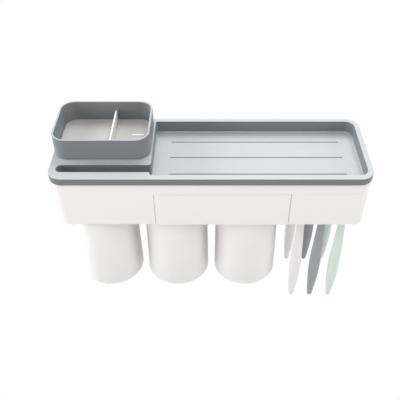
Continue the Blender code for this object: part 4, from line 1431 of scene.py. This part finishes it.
@dataclass
class BrushBay(SubAssembly):
    """The brush bay: a cover round the right front corner, and the notched rack in its foot."""

    corner: float = 0.0158
    wall: float = 0.0025
    inner_wall: float = 0.0020
    lip: float = 0.0035
    ledge: Pair = (0.0020, 0.0014)
    flange: Triple = (0.0024, 0.0131, 0.0151)
    flange_front: float = 0.0030
    rail_low: float = 0.0108
    run: float = 0.0004
    rack_corner: float = 0.0020
    notch: float = 0.0050
    columns: Triple = (0.11175, 0.13725, 0.16275)
    rows: Pair = (-0.1006, -0.0336)
    travel: float = 0.0160
    window_margin: float = 0.0090

    def pieces(self) -> List[bpy.types.Object]:
        """Model and hang the cover and the rack.

        Returns:
            The cover and the rack.
        """
        return [
            self.hang(self._cover(), Palette.HOUSING, "brush_bay", "brush_cover"),
            self.hang(self._rack(), Palette.RACK, "brush_bay", "brush_rack"),
        ]

    def _cover(self) -> bpy.types.Object:
        """Make the cover with its ledge, its flanges and the way for the hanging rail.

        Returns:
            The piece.
        """
        low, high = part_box("brush_cover")
        left = low.x + self.lip
        base = Moulding.slab((left, low.y, low.z), high, (0, self.corner, 0, 0), steps=16)
        lip = Moulding.slab(low, (left + self.weld, low.y + self.wall, high.z))
        room_left, room_front = left + self.inner_wall, low.y + self.wall
        room_right, room_back = high.x - self.wall, high.y - self.inner_wall
        inner_corner = self.corner - self.wall
        width, thick = self.ledge
        room = Moulding.slab(
            (room_left, room_front, low.z + thick),
            (room_right, room_back, high.z + self.overrun),
            (0, inner_corner, 0, 0), steps=16,
        )
        way = Moulding.slab(
            (room_left + width, room_front + width, low.z - self.overrun),
            (room_right - width, room_back - width, low.z + thick + self.weld),
            (0, inner_corner - width, 0, 0),
        )
        rail_way = Moulding.slab(
            (room_left, room_back - self.overrun, self.rail_low - self.run),
            (room_right, high.y + self.overrun, high.z + self.overrun),
        )
        reach, under, top = self.flange
        left_flange = Moulding.slab(
            (left - reach, low.y + self.wall + self.flange_front, under),
            (left + self.weld, high.y, top),
        )
        right_flange = Moulding.slab(
            (room_right - self.run - reach, low.y + self.corner, under),
            (room_right + self.weld, high.y - self.weld, top),
        )
        steps = [add(lip), cut(room), cut(way), cut(rail_way), add(left_flange), add(right_flange)]
        return base.combined(steps).as_piece("bay_cover", self.soft_edge)

    def _rack(self) -> bpy.types.Object:
        """Make the rack plate: a window with notches to the front and the back.

        Returns:
            The piece.
        """
        low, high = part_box("brush_rack")
        front, back = self.rows
        first, _, last = self.columns
        under = low.z - self.overrun
        top = high.z + self.overrun
        radii = (self.rack_corner, self.corner - self.wall, self.rack_corner, self.rack_corner)
        steps = [cut(Moulding.slab(
            (first - self.window_margin, front + self.travel, under),
            (last + self.window_margin, back - self.travel, top),
            self.rack_corner, steps=6,
        ))]
        for x in self.columns:
            steps.append(cut(Moulding.slab(
                (x - self.notch, front - self.notch, under),
                (x + self.notch, back + self.notch, top),
                self.notch - self.weld / 4, steps=8,
            )))
        plate = Moulding.slab(low, high, radii)
        return plate.combined(steps).as_piece("rack_plate", self.soft_edge, edge_steps=3)


@dataclass
class Cup(SubAssembly):
    """One cup, mouth down, with the steel disc in its base."""

    number: int = 1
    wall: float = 0.0022
    base: float = 0.0040
    taper: float = 0.0016
    edge: float = 0.0042
    lip_share: float = 0.42
    pocket: Pair = (0.0123, 0.0015)
    disc_edge: float = 0.0002

    def pieces(self) -> List[bpy.types.Object]:
        """Model and hang the cup and its disc.

        Returns:
            The cup and the disc.
        """
        node = f"cup_{self.number}"
        low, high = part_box(node)
        mouth = (high.x - low.x) / 2
        cup = self._turned(axis_of(node), mouth, low.z, high.z)
        disc_node = f"cup_disc_{self.number}"
        disc = self.soft_disc(disc_node, self.disc_edge, steps=72)
        steel = Palette.disc(axis_of(disc_node))
        return [
            self.hang(cup.as_piece(f"cup_body_{self.number}"), Palette.CUP, node, node),
            self.hang(disc.as_piece(f"cup_plate_{self.number}"), steel, node, disc_node),
        ]

    def _turned(self, centre: Pair, mouth: float, low: float, high: float) -> Moulding:
        """Turn the cup's wall and base.

        Args:
            centre: The cup's axis on plan.
            mouth: The radius of its mouth.
            low: The height of its mouth.
            high: The height of its base.

        Returns:
            The cup, with its edges rounded.
        """
        foot = mouth - self.taper
        radius, depth = self.pocket
        inside = high - self.base
        profile = [
            (0, high - depth), (radius, high - depth), (radius, high), (foot, high), (mouth, low),
            (mouth - self.wall, low), (foot - self.wall, inside), (0, inside),
        ]
        cup = Moulding.turned(profile, centre, steps=128)
        cup.round_ring(centre, foot, high, self.edge, steps=8)
        cup.round_ring(centre, foot - self.wall, inside, self.edge - self.wall / 2, steps=6)
        for ring in (mouth, mouth - self.wall):
            cup.round_ring(centre, ring, low, self.wall * self.lip_share, steps=4)
        return cup.round_ring(centre, radius, high, self.broken_edge)


@dataclass(frozen=True)
class Station:
    """One level ring of a brush handle."""

    drop: float
    width: float
    thick: float
    squareness: float = 2.2

    def square(self, at: Vector) -> None:
        """Move a point of a circle onto the ring's squared oval.

        Args:
            at: The point, on a circle of radius 0.5.
        """
        power = 2 / self.squareness
        at.x = math.copysign(abs(2 * at.x) ** power, at.x) * self.width / 2
        at.y = math.copysign(abs(2 * at.y) ** power, at.y) * self.thick / 2


@dataclass
class Toothbrush(SubAssembly):
    """One toothbrush, hung by its head on the rack: a handle and its tufts."""

    number: int = 1
    finish: Finish = field(default_factory=lambda: Palette.BRUSHES[0])
    head: Triple = (0.0280, 0.0125, 0.0050)
    head_top: Tuple[Quad, ...] = (
        (0.0000, 0.34, 0.80, 3.0),
        (0.0010, 0.66, 0.96, 3.4),
        (0.0038, 0.96, 1.00, 4.0),
        (0.0060, 1.00, 1.00, 4.0),
    )
    head_foot: Tuple[Quad, ...] = (
        (-0.0040, 1.00, 1.00, 4.0),
        (-0.0018, 0.96, 1.00, 3.6),
    )
    neck: Pair = (0.0090, 0.0060)
    neck_start: float = 0.0004
    neck_end: float = 0.0342
    grip: Pair = (0.0148, 0.0105)
    grip_peak: float = 0.60
    tip: Pair = (0.0068, 0.0050)
    tip_length: float = 0.0040
    tip_rings: Tuple[Pair, ...] = ((0.45, 0.90), (0.82, 0.64), (1.0, 0.30))
    rings: int = 11
    sides: int = 16
    tuft_rows: int = 9
    tuft_shares: Quad = (-1.0, -0.34, 0.34, 1.0)
    tuft_radius: float = 0.00082
    tuft_dome: Pair = (0.94, 0.06)
    tuft_short: float = 0.0002
    filaments: int = 13
    filament: float = 0.00011
    filament_sides: int = 5
    filament_tip: float = 0.7
    filament_spread: float = 0.4
    filament_turn: float = 2.39996
    filament_swing: float = 0.2
    filament_shortest: float = 0.975

    def pieces(self) -> List[bpy.types.Object]:
        """Model and hang the handle and the tufts.

        Returns:
            The handle and the tufts.
        """
        body = f"brush_{self.number}"
        handle, bristles = f"brush_handle_{self.number}", f"brush_bristles_{self.number}"
        return [
            self.hang(self._handle(handle), self.finish, body, handle),
            self.hang(self._tufts(handle, bristles), Palette.BRISTLE, body, bristles),
        ]

    def _stations(self, length: float) -> List[Station]:
        """Return the rings down the handle, from the head's top to the tip.

        Args:
            length: The handle's whole length.

        Returns:
            The rings in order.
        """
        head, head_width, head_thick = self.head
        shares = [*self.head_top, *((head + drop, *rest) for drop, *rest in self.head_foot)]
        stations = [
            Station(drop, head_width * width, head_thick * thick, squareness)
            for drop, width, thick, squareness in shares
        ]
        for drop in (head + self.neck_start, self.neck_end):
            stations.append(Station(drop, *self.neck))
        run = length - self.tip_length - self.neck_end
        for number in range(1, self.rings):
            share = number / (self.rings - 1)
            stations.append(Station(self.neck_end + share * run, *self._grip_at(share)))
        for share, size in self.tip_rings:
            drop = length - self.tip_length + share * self.tip_length
            stations.append(Station(drop, size * self.tip[0], size * self.tip[1]))
        return stations

    def _grip_at(self, share: float) -> Pair:
        """Return the grip's section at one place.

        Args:
            share: How far down the grip, from 0 at the neck to 1 at the tip.

        Returns:
            The width and the thickness.
        """
        if share < self.grip_peak:
            start, end = self.neck, self.grip
            way = 0.5 - 0.5 * math.cos(math.pi * share / self.grip_peak)
        else:
            start, end = self.grip, self.tip
            way = 1 - math.cos(math.pi / 2 * (share - self.grip_peak) / (1 - self.grip_peak))
        return (start[0] + (end[0] - start[0]) * way, start[1] + (end[1] - start[1]) * way)

    def _handle(self, node: str) -> bpy.types.Object:
        """Make the handle, lofted through its rings and smoothed.

        Args:
            node: The handle's frame node.

        Returns:
            The piece.
        """
        low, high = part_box(node)
        x, y = axis_of(node)
        made = Moulding()
        loops: List[List[bmesh.types.BMEdge]] = []
        stations = self._stations(high.z - low.z)
        for place, station in enumerate(stations):
            capped = place in (0, len(stations) - 1)
            ring = bmesh.ops.create_circle(
                made.shape, cap_ends=capped, cap_tris=False, segments=self.sides, radius=0.5
            )["verts"]
            for vert in ring:
                station.square(vert.co)
                vert.co.x += x
                vert.co.y += y
                vert.co.z = high.z - station.drop
            edges = {edge for vert in ring for edge in vert.link_edges}
            loops.append(sorted(edges, key=lambda edge: edge.calc_length()))
        for upper, lower in zip(loops, loops[1:]):
            bmesh.ops.bridge_loops(made.shape, edges=upper + lower)
        bmesh.ops.recalc_face_normals(made.shape, faces=made.shape.faces)
        return made.as_piece(f"handle_{self.number}", smoothing=2)

    def _tufts(self, handle: str, bristles: str) -> bpy.types.Object:
        """Make the tufts: bundles of fine filaments that stand in rows on the head.

        Args:
            handle: The handle's frame node.
            bristles: The bristles' frame node.

        Returns:
            The piece.
        """
        low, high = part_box(bristles)
        middle = (low + high) / 2
        facing = 1.0 if middle.y > axis_of(handle)[1] else -1.0
        root = low.y if facing > 0 else high.y
        length = high.y - low.y
        chance = random.Random(self.number)
        made = Moulding()
        reach = (high.z - low.z) / 2 - self.tuft_radius - self.filament
        across = (high.x - low.x) / 2 - self.tuft_radius - self.filament
        most, swell = self.tuft_dome
        for row in range(self.tuft_rows):
            along = -reach + 2 * reach * row / (self.tuft_rows - 1)
            ends = row in (0, self.tuft_rows - 1)
            for share in self.tuft_shares[1:-1] if ends else self.tuft_shares:
                spot = Vector((middle.x + share * across, root, middle.z + along))
                tall = length * (most + swell * math.cos(math.pi * share)) - self.tuft_short
                self._tuft(made, spot, facing, tall, chance)
        return made.as_piece(f"tufts_{self.number}")

    def _tuft(
        self, made: Moulding, spot: Vector, facing: float, tall: float, chance: random.Random
    ) -> None:
        """Add one bundle of filaments.

        Args:
            made: The mesh that the filaments join.
            spot: The middle of the bundle's root.
            facing: The side that the bundle points to, 1 or -1 along Y.
            tall: The bundle's length.
            chance: The seeded source of small differences.
        """
        turn = Matrix.Rotation(math.radians(-90 * facing), 4, "X")
        swing = self.filament_swing
        for index in range(self.filaments):
            share = (index + self.filament_spread) / self.filaments
            away = self.tuft_radius * math.sqrt(share)
            angle = index * self.filament_turn + chance.uniform(-swing, swing)
            length = tall * chance.uniform(self.filament_shortest, 1.0)
            offset = (away * math.cos(angle), facing * length / 2, away * math.sin(angle))
            bmesh.ops.create_cone(
                made.shape, cap_ends=True, cap_tris=False, segments=self.filament_sides,
                radius1=self.filament, radius2=self.filament * self.filament_tip, depth=length,
                matrix=Matrix.Translation(spot + Vector(offset)) @ turn,
            )


@dataclass
class WallPlate(SubAssembly):
    """The plate that stays on the wall, its up-turned hooks and its adhesive pads."""

    corner: float = 0.0060
    thick: float = 0.0025
    hook_width: float = 0.0200
    hook_places: Triple = (-0.1100, 0.0, 0.1100)
    hook_stem: float = 0.0030
    hook_lip: Triple = (0.0080, -0.0077, -0.0102)
    hook_tip_round: float = 0.0010
    hook_heel_round: float = 0.0015
    pad_corner: float = 0.0040
    pad_edge: float = 0.0001
    pad_count: int = 3

    def pieces(self) -> List[bpy.types.Object]:
        """Model and hang the plate and its pads.

        Returns:
            The plate and the pads.
        """
        made = [self.hang(self._plate(), Palette.PLATE, "wall_plate", "wall_plate")]
        for number in range(1, self.pad_count + 1):
            node = f"adhesive_pad_{number}"
            pad = self._upright(*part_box(node), self.pad_corner)
            piece = pad.as_piece(f"pad_{number}", self.pad_edge)
            made.append(self.hang(piece, Palette.PAD, "wall_plate", node))
        return made

    @staticmethod
    def _upright(low: Vector, high: Vector, corner: float) -> Moulding:
        """Return a plate on the wall, with rounded corners as seen from the room."""
        made = Moulding.slab((low.x, low.z, -high.y), (high.x, high.z, -low.y), corner, steps=8)
        return made.turn_to_wall()

    def _plate(self) -> bpy.types.Object:
        """Make the plate with its hooks.

        Returns:
            The piece.
        """
        low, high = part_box("wall_plate")
        front = high.y - self.thick
        plate = self._upright(Vector((low.x, front, low.z)), high, self.corner)
        tall, lip_back, lip_front = self.hook_lip
        outline = [
            Corner(front + self.weld, -self.hook_stem),
            Corner(front + self.weld, 0.0),
            Corner(lip_back, 0.0),
            Corner(lip_back, tall, self.hook_tip_round),
            Corner(lip_front, tall, self.hook_tip_round),
            Corner(lip_front, -self.hook_stem, self.hook_heel_round),
        ]
        half = self.hook_width / 2
        steps = [
            add(Moulding.from_plan(outline, x - half, x + half, steps=4).turn_to_side())
            for x in self.hook_places
        ]
        return plate.combined(steps).as_piece("plate_with_hooks", self.broken_edge)


# Studio


@dataclass(frozen=True)
class Softbox:
    """A soft rectangular lamp that faces a target."""

    name: str
    place: Triple
    target: Triple
    size: Pair
    power: float

    def hang(self) -> None:
        """Hang the lamp in the scene."""
        lamp = bpy.data.lights.new(self.name, "AREA")
        lamp.shape = "RECTANGLE"
        lamp.size, lamp.size_y = self.size
        lamp.energy = self.power
        hung = bpy.data.objects.new(self.name, lamp)
        hung.location = self.place
        facing = Vector(self.target) - Vector(self.place)
        hung.rotation_euler = facing.to_track_quat("-Z", "Y").to_euler()
        bpy.context.scene.collection.objects.link(hung)


@dataclass
class Studio:
    """The floor, the lamps, the backdrop and the camera."""

    floor_drop: float = 1.20
    floor_side: float = 14.0
    floor_grey: Colour = (0.86, 0.86, 0.86)
    focal: float = 580.7
    picture_middle: Pair = (210.77, 200.0)
    camera_place: Triple = (0.0, -0.6174, 0.4569)
    camera_pitch: float = 48.1
    sensor: float = 36.0
    sight: Pair = (0.01, 60.0)
    ambient: float = 0.113
    lamps: Tuple[Softbox, ...] = (
        Softbox("overhead_softbox", (0.25, 0.70, 1.16), (0.0, -0.06, 0.03), (1.30, 0.90), 18.5),
        Softbox("rear_softbox", (-1.25, 0.38, 0.56), (0.0, -0.06, 0.03), (0.60, 0.60), 14.0),
        Softbox("left_softbox", (-1.50, -0.70, 0.42), (0.0, -0.06, -0.05), (1.00, 0.80), 16.5),
        Softbox("front_softbox", (0.00, -0.60, 1.40), (0.0, -0.06, -0.02), (1.20, 0.80), 11.5),
        Softbox("low_softbox", (0.00, -1.40, 0.05), (0.0, -0.06, -0.02), (1.20, 0.60), 5.1),
        Softbox("right_softbox", (1.60, -0.50, 0.40), (0.0, -0.06, -0.05), (0.90, 0.90), 15.4),
    )

    def build(self) -> None:
        """Set up everything that isn't the object."""
        self._camera()
        self._world()
        self._floor()
        for lamp in self.lamps:
            lamp.hang()
        bpy.context.scene.view_settings.view_transform = "Standard"

    def _camera(self) -> None:
        """Place the camera at the photograph's viewing angle."""
        lens = bpy.data.cameras.new("camera")
        lens.sensor_width = self.sensor
        lens.lens = self.focal * self.sensor / PICTURE_SIDE
        across, down = self.picture_middle
        lens.shift_x = (PICTURE_SIDE / 2 - across) / PICTURE_SIDE
        lens.shift_y = (down - PICTURE_SIDE / 2) / PICTURE_SIDE
        lens.clip_start, lens.clip_end = self.sight
        lens.dof.use_dof = False
        camera = bpy.data.objects.new("camera", lens)
        camera.location = self.camera_place
        camera.rotation_euler = (math.radians(self.camera_pitch), 0.0, 0.0)
        bpy.context.scene.collection.objects.link(camera)
        bpy.context.scene.camera = camera

    def _world(self) -> None:
        """Light softly from all round, and show plain white to whatever sees the backdrop."""
        world = bpy.context.scene.world or bpy.data.worlds.new("world")
        bpy.context.scene.world = world
        world.use_nodes = True
        bench = Bench(world.node_tree)
        strength = bench.plain_ray() * (1.0 - self.ambient) + self.ambient
        shader = bench.node(
            "ShaderNodeBackground", {}, {"Color": (1.0, 1.0, 1.0), "Strength": strength}
        )
        bench.place("ShaderNodeOutputWorld", {}, {"Surface": shader})

    def _floor(self) -> None:
        """Lay a pale floor well below, as under anything that hangs on a wall."""
        shape = bmesh.new()
        bmesh.ops.create_grid(shape, x_segments=1, y_segments=1, size=self.floor_side / 2)
        bmesh.ops.translate(shape, verts=shape.verts, vec=(0, 0, -self.floor_drop))
        floor = Moulding(shape).as_object("floor")
        floor.data.materials.append(self._floor_paint())

    def _floor_paint(self) -> bpy.types.Material:
        """Make the floor's paint, matt to the light and plain white to the eye.

        Returns:
            The material.
        """
        paint = bpy.data.materials.new("floor_paint")
        paint.use_nodes = True
        bench = Bench(paint.node_tree)
        matt = bench.node("ShaderNodeBsdfDiffuse", {}, {"Color": self.floor_grey})
        glow = bench.node(
            "ShaderNodeEmission", {}, {"Color": (1.0, 1.0, 1.0), "Strength": 1.0}
        )
        mixed = bench.node("ShaderNodeMixShader", {}, {0: bench.plain_ray(), 1: matt, 2: glow})
        bench.place("ShaderNodeOutputMaterial", {}, {"Surface": mixed})
        return paint


def sub_assemblies() -> List[SubAssembly]:
    """List the organiser's sub-assemblies, from the wall forwards.

    Returns:
        The sub-assemblies in the order in which they are built.
    """
    groups: List[SubAssembly] = [
        WallPlate(), Housing(), TopTray(), StorageBox(), Drawer(), BrushBay()
    ]
    groups += [Cup(number=number) for number in range(1, CUP_COUNT + 1)]
    for number in range(1, BRUSH_COUNT + 1):
        finish = Palette.BRUSHES[(number - 1) % len(Palette.BRUSHES)]
        groups.append(Toothbrush(number=number, finish=finish))
    return groups


def main() -> None:
    """Build the studio and every sub-assembly, and report each piece."""
    logging.basicConfig(level=logging.INFO, format="%(name)s: %(message)s")
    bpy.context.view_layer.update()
    Studio().build()
    groups = sub_assemblies()
    count = sum(len(group.pieces()) for group in groups)
    LOG.info("%d pieces in %d sub-assemblies", count, len(groups))
    bpy.context.view_layer.update()


if __name__ == "__main__":
    main()
